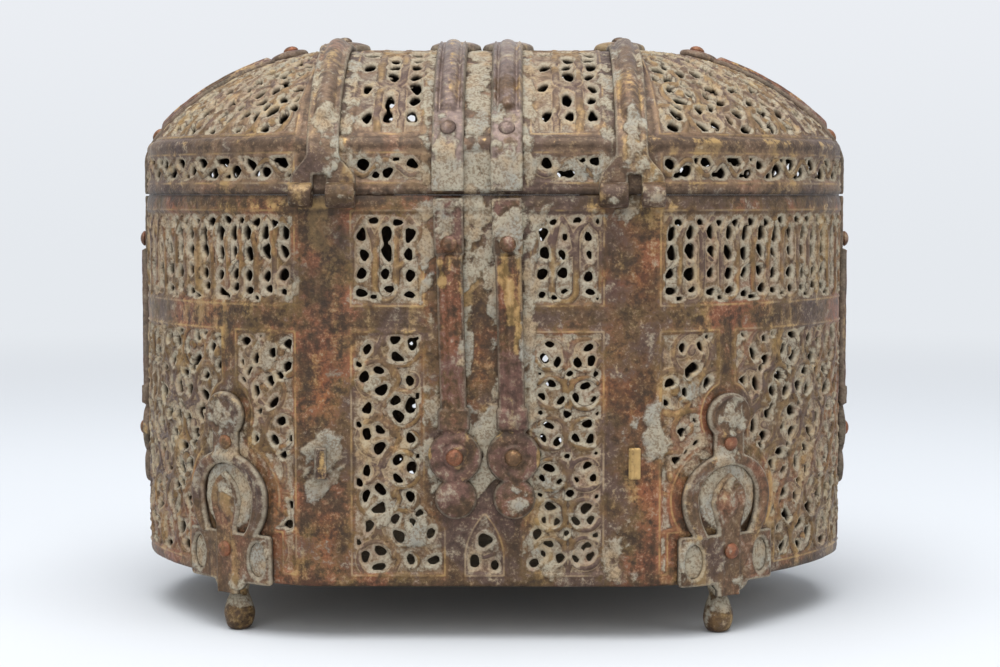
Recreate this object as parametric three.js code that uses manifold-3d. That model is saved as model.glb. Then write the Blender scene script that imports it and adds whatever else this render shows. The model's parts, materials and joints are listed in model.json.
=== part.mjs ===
// Pierced bronze casket with a domed, hinged lid, about 236 mm wide over its walls.
// Units are millimetres and +Z is up. The casket stands on z = 0 and its front looks along -Y.
// x = 0 is the middle of the straps: the right-hand corners run further than the left-hand ones,
// as they do on the hand-made original.
import * as THREE from "three";
import { mergeVertices } from "three/addons/utils/BufferGeometryUtils.js";
import Module from "manifold-3d";

// Plan
const bodyWidth = 236; // over the walls, left to right
const bodyDepth = 170; // over the walls, front to back
const rightExcess = 8; // by which the right-hand corners run further sideways than the left-hand ones
const flatPastStraps = 2.8; // flat front beyond the middle of each outer strap
const sideFlat = 10; // half length of the flat ends
const cornerPower = 1.5; // 2 would be an ellipse, 1 a straight chamfer
const cornerSteps = 8;

// Heights
const standHeight = 17.2; // floor to the foot of the wall
const bodyHeight = 121;
const topRim = 5.5;
const friezeHeight = 28;
const middleBand = 9;
const bottomRim = 4;
const lidSkirt = 12;
const domeRise = 35.5;
const crownCorner = 6; // what is left of the left-hand corners' run on the flat top
const domeSteps = 5;

// Metal and clearances
const wallThickness = 2.4;
const lidThickness = 2.2;
const baseThickness = 2;
const seatGap = 0.3; // between pieces that lie on each other
const runningGap = 0.07; // round a hinge pin
const flatTolerance = 0.02; // faces that agree this closely are made one

// Straps
const centreStrapX = 9;
const outerStrapX = bodyWidth * 0.2;
const frontStrapLean = 0.026; // radians off plumb: the straps of the front hang towards the right
const barWidth = 9;
const barHeight = 4;
const plateWidth = 10;
const plateHeight = 1.8;
const lidPlateReach = 0.32; // share of the dome's curve that the flat end plates climb
const bodyPlateLength = 19;
const sideStrapReach = 0.92; // share of the dome's curve that the straps of the ends climb
const plateLap = 0.02; // share of the dome's curve by which an end plate runs under its bar
const discRadius = 8.3;
const discHeight = 3.4;
const discDrop = 80.5; // lid seam down to the middle of a disc
const lobeRadius = 6.4;
const lobeHeight = 3;
const crownDiscRadius = 8.8;
const crownDiscHeight = 4.6;

// Hinge knuckles, alike at the front for the lost hasps and at the back for the lid
const knuckleRadius = 3.85;
const pinRadius = 1.5;
const peenRadius = 2.3; // spread ends of a pin
const peenHeight = 1;
const outerKnuckle = 7; // length of the knuckle on the far side from the middle
const innerKnuckle = 8.8; // length of the knuckle nearer the middle
const knuckleSlot = 4.2; // gap between them
const slotRise = 6; // height of the gap above the seam
const flareRise = 10; // height at which the strap begins to widen to its knuckles

// Plain strips of the wall
const bandHalfWidth = 9.25; // under the hasps and hinges
const centreStripHalf = 16.5; // under the middle pair of straps
const sideStripHalf = 9; // under the straps of the ends
const stemHalfWidth = 3.8; // under the mounts of the feet, in the lower belt only

// Ground of the pierced panels, and the moulding round the foot of the dome
const panelSink = 0.4;
const skirtFriezeFoot = 4.2; // lid's foot to the lid's lower belt of openwork
const mouldingFoot = 0.04; // share of the dome's curve
const mouldingTop = 0.13;
const mouldingHeight = 0.9;
const domePanelFoot = 0.17;
const domePanelTop = 0.96;

// Piercings
const holePitch = 11.5; // along the wall
const rowPitch = 18; // up the wall
const leafLength = 11;
const leafWidth = 6;
const lozengeLength = 11;
const lozengeWidth = 6.5;
const friezeScale = 1.35; // the frieze's single row is larger
const lidScale = 0.8; // and the lid's piercings are smaller
const skirtScale = 0.62;
const leafLean = 0.8; // radians from level
const panelMargin = 2.2; // frame left round the piercings of a panel

// Feet
const footShareRight = 0.43; // how far into the right-hand corners the feet stand, as a share of their run
const footShareLeft = 0.516;
const footInset = 4.8; // from the wall's face to the middle of a foot
const footRadius = 4.8;
const footNeckRadius = 3.7;
const mountThickness = 2;
const mountWidth = 37;
const mountBaseHeight = 14.7;
const mountBaseLap = 0.7; // how far the mount reaches below the wall
const mountEyeHalfWidth = 2.6;
const mountEyeHalfHeight = 4.6;
const mountArchHalfWidth = 17.3;
const mountArchHeight = 26.5;
const mountArchBand = 5.2;
const mountBudFoot = 20.4; // foot of the wall to the foot of the almond in the arch
const mountBudHeight = 14.4;
const mountBudHalfWidth = 5.8;
const mountStemHalfWidth = 1.6;
const mountNeckHalfWidth = 5.4;
const mountDiscRise = 52.4; // foot of the wall to the middle of the disc over the arch
const mountDiscRadius = 7;
const mountTongueHalfWidth = 6.5;
const mountTongueDrop = 3.2;
const mountRivetLow = 9.5; // above the foot of the wall
const mountRivetHigh = 43.5;

// Rivets and staples
const rivetShank = 1.5;
const rivetHead = 2.5;
const rivetHeadHeight = 1.3;
const rivetSides = 6;
const stapleWidth = 3.7;
const stapleLength = 9.8;
const stapleProud = 1.8;
const stapleDrop = 82.5; // lid seam down to the middle of a staple
const stapleOut = 1.2; // from the middle of a band towards the nearer end of the casket
const stapleClench = 1.5; // how far the bent ends reach up and down inside the wall

// Places worked out from the above
const frontFlat = outerStrapX + flatPastStraps; // half length of the flat front and back
const leftCorner = (bodyWidth - rightExcess) / 2 - frontFlat;
const rightCorner = leftCorner + rightExcess;
const domeRun = leftCorner - crownCorner; // how far the dome leans in before its flat top
const footArcRight = frontFlat + footShareRight * rightCorner; // along the wall from its middle
const footArcLeft = frontFlat + footShareLeft * leftCorner;
const seam = standHeight + bodyHeight;
const halfDepth = bodyDepth / 2;
const cornerDepth = halfDepth - sideFlat; // front to back run of each corner
const friezeTop = seam - topRim;
const friezeFoot = friezeTop - friezeHeight;
const panelTop = friezeFoot - middleBand;
const panelFoot = standHeight + bottomRim;
const lidFoot = seam + seatGap;
const crown = seam + lidSkirt + domeRise;
const hingeAxisY = halfDepth + seatGap + knuckleRadius;
const rivetHole = (rivetShank + seatGap) / Math.cos(Math.PI / rivetSides);
const curve = 2 / cornerPower;
const cutReach = 5 * wallThickness; // cutters stand this far out of the metal on either side

const wasm = await Module();
wasm.setup();
const { Manifold } = wasm;

// A closed geometry as a solid that can be joined and cut.
function solid(geometry, matrix) {
  const bare = new THREE.BufferGeometry();
  const source = geometry.index ? geometry.toNonIndexed() : geometry;
  bare.setAttribute("position", source.getAttribute("position").clone());
  if (matrix) bare.applyMatrix4(matrix);
  const merged = mergeVertices(bare, 1e-4);
  const triVerts = new Uint32Array(merged.index.array);
  return new Manifold(
    new wasm.Mesh({ numProp: 3, vertProperties: merged.attributes.position.array, triVerts }),
  );
}

// The solid back as a geometry with flat faces, those that lie in one plane merged first.
function geometryOf(shape) {
  const mesh = shape.asOriginal().simplify(flatTolerance).getMesh();
  const geometry = new THREE.BufferGeometry();
  const points = new Float32Array(mesh.numVert * 3);
  for (let i = 0; i < mesh.numVert; i++)
    points.set(mesh.vertProperties.subarray(i * mesh.numProp, i * mesh.numProp + 3), i * 3);
  geometry.setAttribute("position", new THREE.BufferAttribute(points, 3));
  geometry.setIndex(new THREE.BufferAttribute(mesh.triVerts, 1));
  const faceted = geometry.toNonIndexed();
  faceted.computeVertexNormals();
  return faceted;
}

const join = (solids) => Manifold.union(solids);

// A flat outline, given as [x, y] pairs, raised from one height to another.
function prism(points, low, high, matrix) {
  const shape = new THREE.Shape(points.map(([x, y]) => new THREE.Vector2(x, y)));
  const geometry = new THREE.ExtrudeGeometry(shape, { depth: high - low, bevelEnabled: false });
  geometry.translate(0, 0, low);
  return solid(geometry, matrix);
}

const rectangle = (x0, x1, y0, y1) => [[x0, y0], [x1, y0], [x1, y1], [x0, y1]];

function ellipse(x, y, halfWidth, halfHeight, sides) {
  return Array.from({ length: sides }, (_, i) => {
    const a = ((i + 0.5) * 2 * Math.PI) / sides;
    return [x + halfWidth * Math.cos(a), y + halfHeight * Math.sin(a)];
  });
}

// Triangles round a closed body as a solid, with its faces turned outwards.
function closedSolid(corners, triangles) {
  const points = corners.map((p) => new THREE.Vector3(...p));
  const volume = triangles.reduce((sum, corner, i) => {
    if (i % 3) return sum;
    const [a, b, c] = [corner, triangles[i + 1], triangles[i + 2]].map((k) => points[k]);
    return sum + a.dot(b.clone().cross(c));
  }, 0);
  if (volume < 0) triangles.reverse();
  return solid(new THREE.BufferGeometry().setFromPoints(points).setIndex(triangles));
}

// A solid through rings of the same number of points, closed by its first and last ring.
function loft(rings) {
  const count = rings[0].length;
  const triangles = [];
  rings.slice(1).forEach((_, j) => {
    for (let i = 0; i < count; i++) {
      const a = j * count + i;
      const b = j * count + ((i + 1) % count);
      triangles.push(a, b, b + count, a, b + count, a + count);
    }
  });
  const last = (rings.length - 1) * count;
  for (let i = 1; i < count - 1; i++) {
    triangles.push(0, i + 1, i);
    triangles.push(last, last + i, last + i + 1);
  }
  return closedSolid(rings.flat(), triangles);
}

// A curved slab between two nets of points, each a list of rows.
function slab(outer, inner) {
  const rows = outer.length;
  const count = outer[0].length;
  const triangles = [];
  const quad = (a, b, c, d) => triangles.push(a, b, c, a, c, d);
  const at = (net, row, column) => (net * rows + row) * count + column;
  for (let r = 0; r < rows - 1; r++) {
    for (let c = 0; c < count - 1; c++) {
      quad(at(0, r, c), at(0, r, c + 1), at(0, r + 1, c + 1), at(0, r + 1, c));
      quad(at(1, r, c), at(1, r + 1, c), at(1, r + 1, c + 1), at(1, r, c + 1));
    }
    for (const [c, net] of [[0, 1], [count - 1, 0]])
      quad(at(net, r, c), at(1 - net, r, c), at(1 - net, r + 1, c), at(net, r + 1, c));
  }
  for (let c = 0; c < count - 1; c++)
    for (const [r, net] of [[0, 0], [rows - 1, 1]])
      quad(at(net, r, c), at(1 - net, r, c), at(1 - net, r, c + 1), at(net, r, c + 1));
  return closedSolid([...outer.flat(), ...inner.flat()], triangles);
}

// The four corners as the signs of x and y and the sideways run.
const corners = [
  [1, -1, rightCorner],
  [1, 1, rightCorner],
  [-1, 1, leftCorner],
  [-1, -1, leftCorner],
];

// The plan's outline as [x, y] points, counterclockwise from the middle of the front.
function outline(inset) {
  const depth = cornerDepth - inset;
  const points = [[0, -sideFlat - depth]];
  corners.forEach(([sx, sy, run], corner) => {
    for (let i = 0; i <= cornerSteps; i++) {
      const step = corner % 2 ? cornerSteps - i : i;
      const angle = (step * Math.PI) / 2 / cornerSteps;
      const across = frontFlat + (run - inset) * Math.sin(angle) ** curve;
      const along = sideFlat + depth * Math.cos(angle) ** curve;
      points.push([sx * across, sy * along]);
    }
  });
  return points;
}

// Distances along the wall's face, from the middle of the front towards the right.
const faceLine = outline(0);
const faceSteps = faceLine.map((p, i) => {
  const q = faceLine[(i + 1) % faceLine.length];
  return Math.hypot(q[0] - p[0], q[1] - p[1]);
});
const faceStarts = faceSteps.reduce((sums, step) => [...sums, sums.at(-1) + step], [0]);
const girth = faceStarts.at(-1);
const rightEnd = faceStarts[cornerSteps + 1] + sideFlat;
const backMiddle = faceStarts[2 * cornerSteps + 2] + frontFlat;
const leftEnd = faceStarts[3 * cornerSteps + 3] + sideFlat;

// The facet of the wall that holds a distance along it.
function facetAt(distance) {
  const along = ((distance % girth) + girth) % girth;
  const i = faceStarts.findLastIndex((start, k) => k < faceSteps.length && start <= along);
  return { i, share: (along - faceStarts[i]) / faceSteps[i] };
}

function wallPoint(distance, inset) {
  const { i, share } = facetAt(distance);
  const line = outline(inset);
  const p = line[i];
  const q = line[(i + 1) % line.length];
  return [p[0] + (q[0] - p[0]) * share, p[1] + (q[1] - p[1]) * share];
}

// A frame on the wall: x along the wall to the right, y up, z out of the wall.
function wallFrame(distance, height, inset = 0) {
  const { i } = facetAt(distance);
  const p = faceLine[i];
  const q = faceLine[(i + 1) % faceLine.length];
  const along = new THREE.Vector3(q[0] - p[0], q[1] - p[1], 0).normalize();
  const up = new THREE.Vector3(0, 0, 1);
  const out = new THREE.Vector3().crossVectors(along, up);
  const [x, y] = wallPoint(distance, inset);
  return new THREE.Matrix4().makeBasis(along, up, out).setPosition(x, y, height);
}

// The wall's bends between two distances along it.
const bendsBetween = (from, to) => faceStarts.filter((d) => d > from + 0.01 && d < to - 0.01);

// A ring of wall all the way round.
function wallRing(outsideInset, insideInset, low, high) {
  return prism(outline(outsideInset), low, high).subtract(
    prism(outline(insideInset), low - 1, high + 1),
  );
}

// Piercings as flat outlines: a leaf with two points, and a lozenge.
const leaf = (scale = 1) => {
  const l = (leafLength * scale) / 2;
  const w = (leafWidth * scale) / 2;
  return [[l, 0], [-l * 0.35, w], [-l, 0], [-l * 0.35, -w]];
};
const lozenge = (scale = 1) => {
  const l = (lozengeLength * scale) / 2;
  const w = (lozengeWidth * scale) / 2;
  return [[l, 0], [0, w], [-l, 0], [0, -w]];
};

// A piercing through the metal at a frame on its face, turned by an angle.
function piercing(matrix, points, angle) {
  const turned = points.map(([x, y]) => [
    x * Math.cos(angle) - y * Math.sin(angle),
    x * Math.sin(angle) + y * Math.cos(angle),
  ]);
  return prism(turned, -cutReach, cutReach, matrix);
}

// Columns of piercings between two distances along the wall, none of them across a bend.
function columnPlaces(from, to) {
  const stops = [from, ...bendsBetween(from, to), to];
  return stops.slice(1).flatMap((stop, i) => {
    const width = stop - stops[i];
    const count = width < leafLength - 1 ? 0 : Math.max(1, Math.round(width / holePitch));
    return Array.from({ length: count }, (_, k) => stops[i] + ((k + 0.5) * width) / count);
  });
}

// Rows of leaves that lean to and fro, as the stems of a scroll do, with lozenges between them.
function piercePanel(from, to, low, high) {
  const cutters = [];
  const rows = Math.max(1, Math.round((high - low - 2 * panelMargin) / rowPitch));
  const tall = (high - low - 2 * panelMargin) / rows;
  const scale = rows > 1 ? 1 : friezeScale;
  const columns = columnPlaces(from + panelMargin, to - panelMargin);
  for (const [c, distance] of columns.entries())
    for (let r = 0; r < rows; r++) {
      const height = low + panelMargin + (r + 0.5) * tall;
      if (nearFoot(distance, height)) continue;
      const frame = wallFrame(distance, height);
      if ((c + r) % 2) cutters.push(piercing(frame, lozenge(scale), Math.PI / 2));
      else cutters.push(piercing(frame, leaf(scale), leafLean + (r % 2 ? Math.PI / 2 : 0)));
    }
  return cutters;
}

// The ground of a panel of the wall, cut a little way into its face.
function sunkWall(from, to, low, high) {
  const stops = [from, ...bendsBetween(from, to), to];
  const edge = (inset) => stops.map((distance) => wallPoint(distance, inset));
  return prism([...edge(-cutReach), ...edge(panelSink).reverse()], low, high);
}

// The four feet, as distances along the wall.
const feet = {
  front_right: footArcRight,
  back_right: backMiddle - footArcRight,
  back_left: backMiddle + footArcLeft,
  front_left: girth - footArcLeft,
};
const mountTop = standHeight + mountDiscRise + mountDiscRadius;

// True where a foot's mount lies over the wall.
function nearFoot(distance, height) {
  const along = ((distance % girth) + girth) % girth;
  const reach = (mountWidth + leafLength) / 2;
  return height < mountTop + 2 && Object.values(feet).some((f) => Math.abs(f - along) < reach);
}

// Pierced panels of the wall, as distances along it.
const bandEdge = outerStrapX + bandHalfWidth;
const bandStart = outerStrapX - bandHalfWidth;
const panels = [
  [centreStripHalf, bandStart],
  [bandEdge, rightEnd - sideStripHalf],
  [rightEnd + sideStripHalf, backMiddle - bandEdge],
  [backMiddle - bandStart, backMiddle + bandStart],
  [backMiddle + bandEdge, leftEnd - sideStripHalf],
  [leftEnd + sideStripHalf, girth - bandEdge],
  [girth - bandStart, girth - centreStripHalf],
];

// Rivet with its domed head outwards along +z, its shank through the given thickness.
function rivetGeometry(grip) {
  const profile = [
    [0, -grip - seatGap],
    [rivetShank, -grip - seatGap],
    [rivetShank, seatGap],
    [rivetHead, seatGap],
    [0, seatGap + rivetHeadHeight],
  ].map(([r, y]) => new THREE.Vector2(r, y));
  return new THREE.LatheGeometry(profile, rivetSides).rotateX(Math.PI / 2);
}

const hole = (matrix) =>
  prism(ellipse(0, 0, rivetHole, rivetHole, rivetSides), -cutReach, cutReach, matrix);

// Sections of the straps as [across, out] pairs.
function reededSection(width, height) {
  const side = [[0.5, 0], [0.46, 0.62], [0.26, 0.6], [0.17, 1]];
  const right = side.map(([x, h]) => [x * width, h * height]);
  const left = right.map(([x, h]) => [-x, h]).reverse();
  return [...right, ...left];
}

function plateSection(width, height) {
  const right = [[0.5, 0], [0.5, 0.7], [0.42, 1]].map(([x, h]) => [x * width, h * height]);
  const left = right.map(([x, h]) => [-x, h]).reverse();
  return [...right, ...left];
}

// The lid's profile: how far in and how high a share of the dome's curve is, moved out by a distance.
function domePoint(share, out) {
  const angle = (share * Math.PI) / 2;
  return {
    inset: -out + (domeRun + out) * (1 - Math.cos(angle) ** curve),
    height: seam + lidSkirt + (domeRise + out) * Math.sin(angle) ** curve,
  };
}

// Stations up the lid: a share below 0 is the upright skirt.
function lidPoint(share, out) {
  if (share >= 0) return domePoint(share, out);
  return { inset: -out, height: lidFoot + (seam + lidSkirt - lidFoot) * (1 + share) };
}

const domeStations = Array.from({ length: domeSteps + 1 }, (_, i) => i / domeSteps);

// The frame on the lid's face straight above the front, back or an end.
function lidFrame(share, across, side) {
  const here = lidPoint(share, 0);
  const next = lidPoint(Math.min(share + 0.01, 1), 0);
  const before = lidPoint(Math.max(share - 0.01, -1), 0);
  const up = new THREE.Vector3(0, next.inset - before.inset, next.height - before.height).normalize();
  const along = new THREE.Vector3(1, 0, 0);
  const out = new THREE.Vector3().crossVectors(along, up);
  const place = new THREE.Matrix4().makeBasis(along, up, out);
  place.setPosition(across, here.inset - sideReach(side), here.height);
  return new THREE.Matrix4().makeRotationZ(sideTurn[side]).multiply(place);
}

const sideTurn = { front: 0, right: Math.PI / 2, back: Math.PI, left: -Math.PI / 2 };
const sideReaches = {
  front: halfDepth,
  back: halfDepth,
  right: frontFlat + rightCorner,
  left: frontFlat + leftCorner,
};
const sideReach = (side) => sideReaches[side];

// A strap up one side of the lid, its foot at the seam, as rings from share to share.
function lidStrapRings(section, across, side, shares) {
  const turn = sideTurn[side];
  return shares.map((share) =>
    section.map(([x, out]) => {
      const p = lidPoint(share, seatGap + out);
      const px = across + x;
      const py = p.inset - sideReach(side);
      return [
        px * Math.cos(turn) - py * Math.sin(turn),
        px * Math.sin(turn) + py * Math.cos(turn),
        p.height,
      ];
    }),
  );
}

// The same rings on the other side of the casket's middle.
const toBack = (rings) => rings.map((ring) => ring.map(([x, y, z]) => [x, -y, z]));

// A point of the lid's faceted side, from the stations next to it.
function facetPoint(share, out) {
  if (share <= 0) return lidPoint(share, out);
  const step = Math.min(Math.floor(share * domeSteps), domeSteps - 1);
  const low = lidPoint(step / domeSteps, out);
  const high = lidPoint((step + 1) / domeSteps, out);
  const part = share * domeSteps - step;
  return {
    inset: low.inset + (high.inset - low.inset) * part,
    height: low.height + (high.height - low.height) * part,
  };
}

// A slab on the lid over a stretch of the wall's line and of the dome, between two distances out.
function lidSlab(from, to, low, high, outside, inside) {
  const stops = [from, ...bendsBetween(from, to), to];
  const shares = stationsBetween(low, high);
  const net = (out) =>
    shares.map((share) => {
      const { inset, height } = facetPoint(share, out);
      return stops.map((distance) => [...wallPoint(distance, inset), height]);
    });
  return slab(net(outside), net(inside));
}

const stationsBetween = (from, to) => [
  from,
  ...domeStations.filter((s) => s > from + 1e-6 && s < to - 1e-6),
  to,
];

// A domed disc, flat below.
function disc(radius, height, sides = 12) {
  const profile = [[0, 0], [1, 0], [0.8, 0.85], [0, 1]].map(
    ([r, h]) => new THREE.Vector2(r * radius, h * height),
  );
  return new THREE.LatheGeometry(profile, sides).rotateX(Math.PI / 2);
}

// Strap on the wall: a flat plate under the seam, a reeded bar, a disc and a lobe.
// The frame is at the seam, on the wall's face, and the strap hangs down from it.
function bodyStrap(topDrop) {
  const frameOf = (x, y) => new THREE.Matrix4().makeTranslation(x, y, seatGap);
  const stand = (section, top, foot) => {
    const ring = (y) => section.map(([x, out]) => [x, y, seatGap + out]);
    return loft([ring(top), ring(foot)]);
  };
  const lobeDrop = discDrop + discRadius + lobeRadius * 0.7;
  return join([
    stand(plateSection(plateWidth, plateHeight), -topDrop, -bodyPlateLength - seatGap),
    stand(reededSection(barWidth, barHeight), -bodyPlateLength, -discDrop + discRadius * 0.7),
    solid(disc(discRadius, discHeight), frameOf(0, -discDrop)),
    stand(plateSection(barWidth * 0.55, lobeHeight * 0.8), -discDrop - rivetHead, -lobeDrop),
    solid(disc(lobeRadius, lobeHeight, 10), frameOf(0, -lobeDrop)),
  ]);
}

const bodyRivetDrops = [topRim + 9.5, discDrop];
const bodyStrapTop = 1;

// Knuckles of an outer strap, from its middle: the shorter one lies away from the casket's middle.
const knuckleSpan = outerKnuckle + knuckleSlot + innerKnuckle;
function knuckleEdges(outward) {
  const inner = -knuckleSpan / 2;
  const edges = [inner, inner + innerKnuckle, inner + innerKnuckle + knuckleSlot, -inner];
  return outward > 0 ? edges : edges.map((e) => -e).reverse();
}

const hingeSides = 10;
const knuckleBore = (pinRadius + runningGap) / Math.cos(Math.PI / hingeSides);

// A cylinder along x between two places, on the hinge axis of the front or back.
function axleCylinder(radius, from, to, sides = hingeSides) {
  const turn = new THREE.Matrix4().makeBasis(
    new THREE.Vector3(0, 1, 0),
    new THREE.Vector3(0, 0, 1),
    new THREE.Vector3(1, 0, 0),
  );
  return prism(ellipse(0, 0, radius, radius, sides), from, to, turn);
}

// The widened, knuckled end of an outer strap of the lid, in a frame on the hinge axis at the seam:
// y runs out of the casket and z up.
function knuckledEnd(outward) {
  const [a, b, c, d] = knuckleEdges(outward);
  const wall = -knuckleRadius;
  const stand = new THREE.Matrix4().makeBasis(
    new THREE.Vector3(1, 0, 0),
    new THREE.Vector3(0, 0, 1),
    new THREE.Vector3(0, -1, 0),
  );
  const flare = [
    [a, seatGap],
    [d, seatGap],
    [d, knuckleRadius + 1],
    [plateWidth / 2, flareRise],
    [-plateWidth / 2, flareRise],
    [a, knuckleRadius + 1],
  ];
  return join([
    axleCylinder(knuckleRadius, a, d),
    prism(flare, -wall - plateHeight - 0.4, -wall, stand),
  ])
    .subtract(prism(rectangle(b, c, -slotRise, slotRise), -cutReach, cutReach, stand))
    .subtract(axleCylinder(knuckleBore, a - 1, d + 1));
}

// Turns a piece built for the back round to the front, or leaves it at the back.
const hingePlace = (x, side) =>
  new THREE.Matrix4()
    .makeTranslation(x, side === "back" ? hingeAxisY : -hingeAxisY, seam)
    .multiply(new THREE.Matrix4().makeScale(1, side === "back" ? 1 : -1, 1));

function place(shape, matrix) {
  return shape.transform(matrix.elements);
}

// One strap over the lid from the front seam to the back seam.
function lidStrap(x, kind) {
  const plate = plateSection(plateWidth, plateHeight);
  const bar = reededSection(barWidth, barHeight);
  const foot = kind === "outer" ? -(lidSkirt - flareRise + 0.6) / lidSkirt : -1 + 0.05;
  const crownPlace = new THREE.Matrix4().makeTranslation(x, 0, crown + seatGap);
  const frontPlate = lidStrapRings(plate, x, "front", stationsBetween(foot, lidPlateReach + plateLap));
  const frontBar = lidStrapRings(bar, x, "front", stationsBetween(lidPlateReach, 1));
  const parts = [
    loft(frontPlate),
    loft(toBack(frontPlate)),
    loft([...frontBar, ...toBack(frontBar).reverse()]),
    solid(disc(crownDiscRadius, crownDiscHeight), crownPlace),
  ];
  if (kind === "outer")
    for (const side of ["front", "back"])
      parts.push(place(knuckledEnd(Math.sign(x)), hingePlace(x, side)));
  return join(parts);
}

const bronze = (color, roughness = 0.62) =>
  new THREE.MeshStandardMaterial({ color, roughness, metalness: 0.55 });
const materials = {
  wall: bronze(0x8a7562, 0.7),
  strap: bronze(0x6e564a, 0.55),
  mount: bronze(0x7d5c4a, 0.6),
  foot: bronze(0x6b5138, 0.5),
  rivet: bronze(0x8d5a44, 0.5),
  pin: bronze(0x5a4a40, 0.5),
  staple: bronze(0xb08a4e, 0.35),
};

const casket = new THREE.Group();
const body = new THREE.Group();
const lid = new THREE.Group();
casket.add(body, lid);
// The middle of the straps is moved so that the middle of the casket's box is the origin.
casket.position.x = (leftCorner - rightCorner) / 2;

function addPiece(group, name, geometry, material, matrix) {
  const mesh = new THREE.Mesh(geometry, material);
  mesh.name = name;
  if (matrix) mesh.applyMatrix4(matrix);
  group.add(mesh);
}

const bodyStraps = {
  front_strap_left: { distance: girth - centreStrapX, lean: frontStrapLean },
  front_strap_right: { distance: centreStrapX, lean: frontStrapLean },
  side_strap_left: { distance: leftEnd, lean: 0 },
  side_strap_right: { distance: rightEnd, lean: 0 },
};
const hingeStraps = {
  hinge_strap_left: -outerStrapX,
  hinge_strap_right: outerStrapX,
};

const wallCuts = [];

// The straps on the front and ends, with a rivet in each plate and disc.
const strapGrip = { [bodyRivetDrops[0]]: plateHeight, [bodyRivetDrops[1]]: discHeight };
function addWallRivet(name, spot, proud) {
  const seat = spot.clone().multiply(new THREE.Matrix4().makeTranslation(0, 0, seatGap + proud));
  wallCuts.push(hole(spot));
  addPiece(body, name, rivetGeometry(proud + seatGap + wallThickness), materials.rivet, seat);
}

function addBodyStrap(name, spot, topDrop, extra) {
  const shape = bodyStrap(topDrop);
  const drops = bodyRivetDrops.map((drop) => new THREE.Matrix4().makeTranslation(0, -drop, 0));
  const whole = extra ? join([shape, extra]) : shape;
  const drilled = whole.subtract(join(drops.map(hole)));
  addPiece(body, name, geometryOf(drilled), materials.strap, spot);
  drops.forEach((drop, i) => {
    const rivet = `${name}_rivet_${i ? "disc" : "top"}`;
    addWallRivet(rivet, spot.clone().multiply(drop), strapGrip[bodyRivetDrops[i]]);
  });
}

for (const [name, { distance, lean }] of Object.entries(bodyStraps)) {
  const spot = wallFrame(distance, seam).multiply(new THREE.Matrix4().makeRotationZ(lean));
  addBodyStrap(name, spot, bodyStrapTop);
}

// The straps of the back carry the middle knuckle of each hinge.
for (const [name, x] of Object.entries(hingeStraps)) {
  const outward = -Math.sign(x);
  const [, b, c] = knuckleEdges(outward);
  const out = seatGap + knuckleRadius;
  const toAxis = new THREE.Matrix4().makeTranslation(0, 0, out);
  const turn = new THREE.Matrix4().makeBasis(
    new THREE.Vector3(1, 0, 0),
    new THREE.Vector3(0, 0, -1),
    new THREE.Vector3(0, 1, 0),
  );
  const barrelPlace = toAxis.multiply(turn);
  const from = b + seatGap;
  const to = c - seatGap;
  const bore = place(axleCylinder(knuckleBore, b, c), barrelPlace);
  const barrel = place(axleCylinder(knuckleRadius, from, to), barrelPlace);
  const tongue = prism(
    rectangle(from, to, -knuckleRadius * 1.4, -knuckleRadius * 0.3),
    seatGap,
    seatGap + plateHeight,
  );
  const knuckle = join([barrel, tongue]).subtract(bore);
  addBodyStrap(name, wallFrame(backMiddle - x, seam), knuckleRadius * 1.2, knuckle);
}

// Hinge pins with peened ends.
for (const [name, x] of Object.entries({ hinge_pin_left: -outerStrapX, hinge_pin_right: outerStrapX })) {
  const half = knuckleSpan / 2 + seatGap;
  const profile = [
    [0, -half - peenHeight],
    [peenRadius, -half - peenHeight * 0.7],
    [peenRadius, -half],
    [pinRadius, -half],
    [pinRadius, half],
    [peenRadius, half],
    [peenRadius, half + peenHeight * 0.7],
    [0, half + peenHeight],
  ].map(([r, y]) => new THREE.Vector2(r, y));
  const pin = new THREE.LatheGeometry(profile, hingeSides).rotateZ(Math.PI / 2);
  addPiece(body, name, pin, materials.pin, new THREE.Matrix4().makeTranslation(x, hingeAxisY, seam));
}

// The feet and their pierced mounts.
const mountBase = standHeight - mountBaseLap;
const archFoot = standHeight + mountBaseHeight;
const archTop = archFoot + mountArchHeight;
const archMiddle = archFoot + mountArchHeight * 0.46;
const archHalfHeight = mountArchHeight * 0.54;
const budFoot = standHeight + mountBudFoot;
const mountDiscMiddle = standHeight + mountDiscRise;

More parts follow.
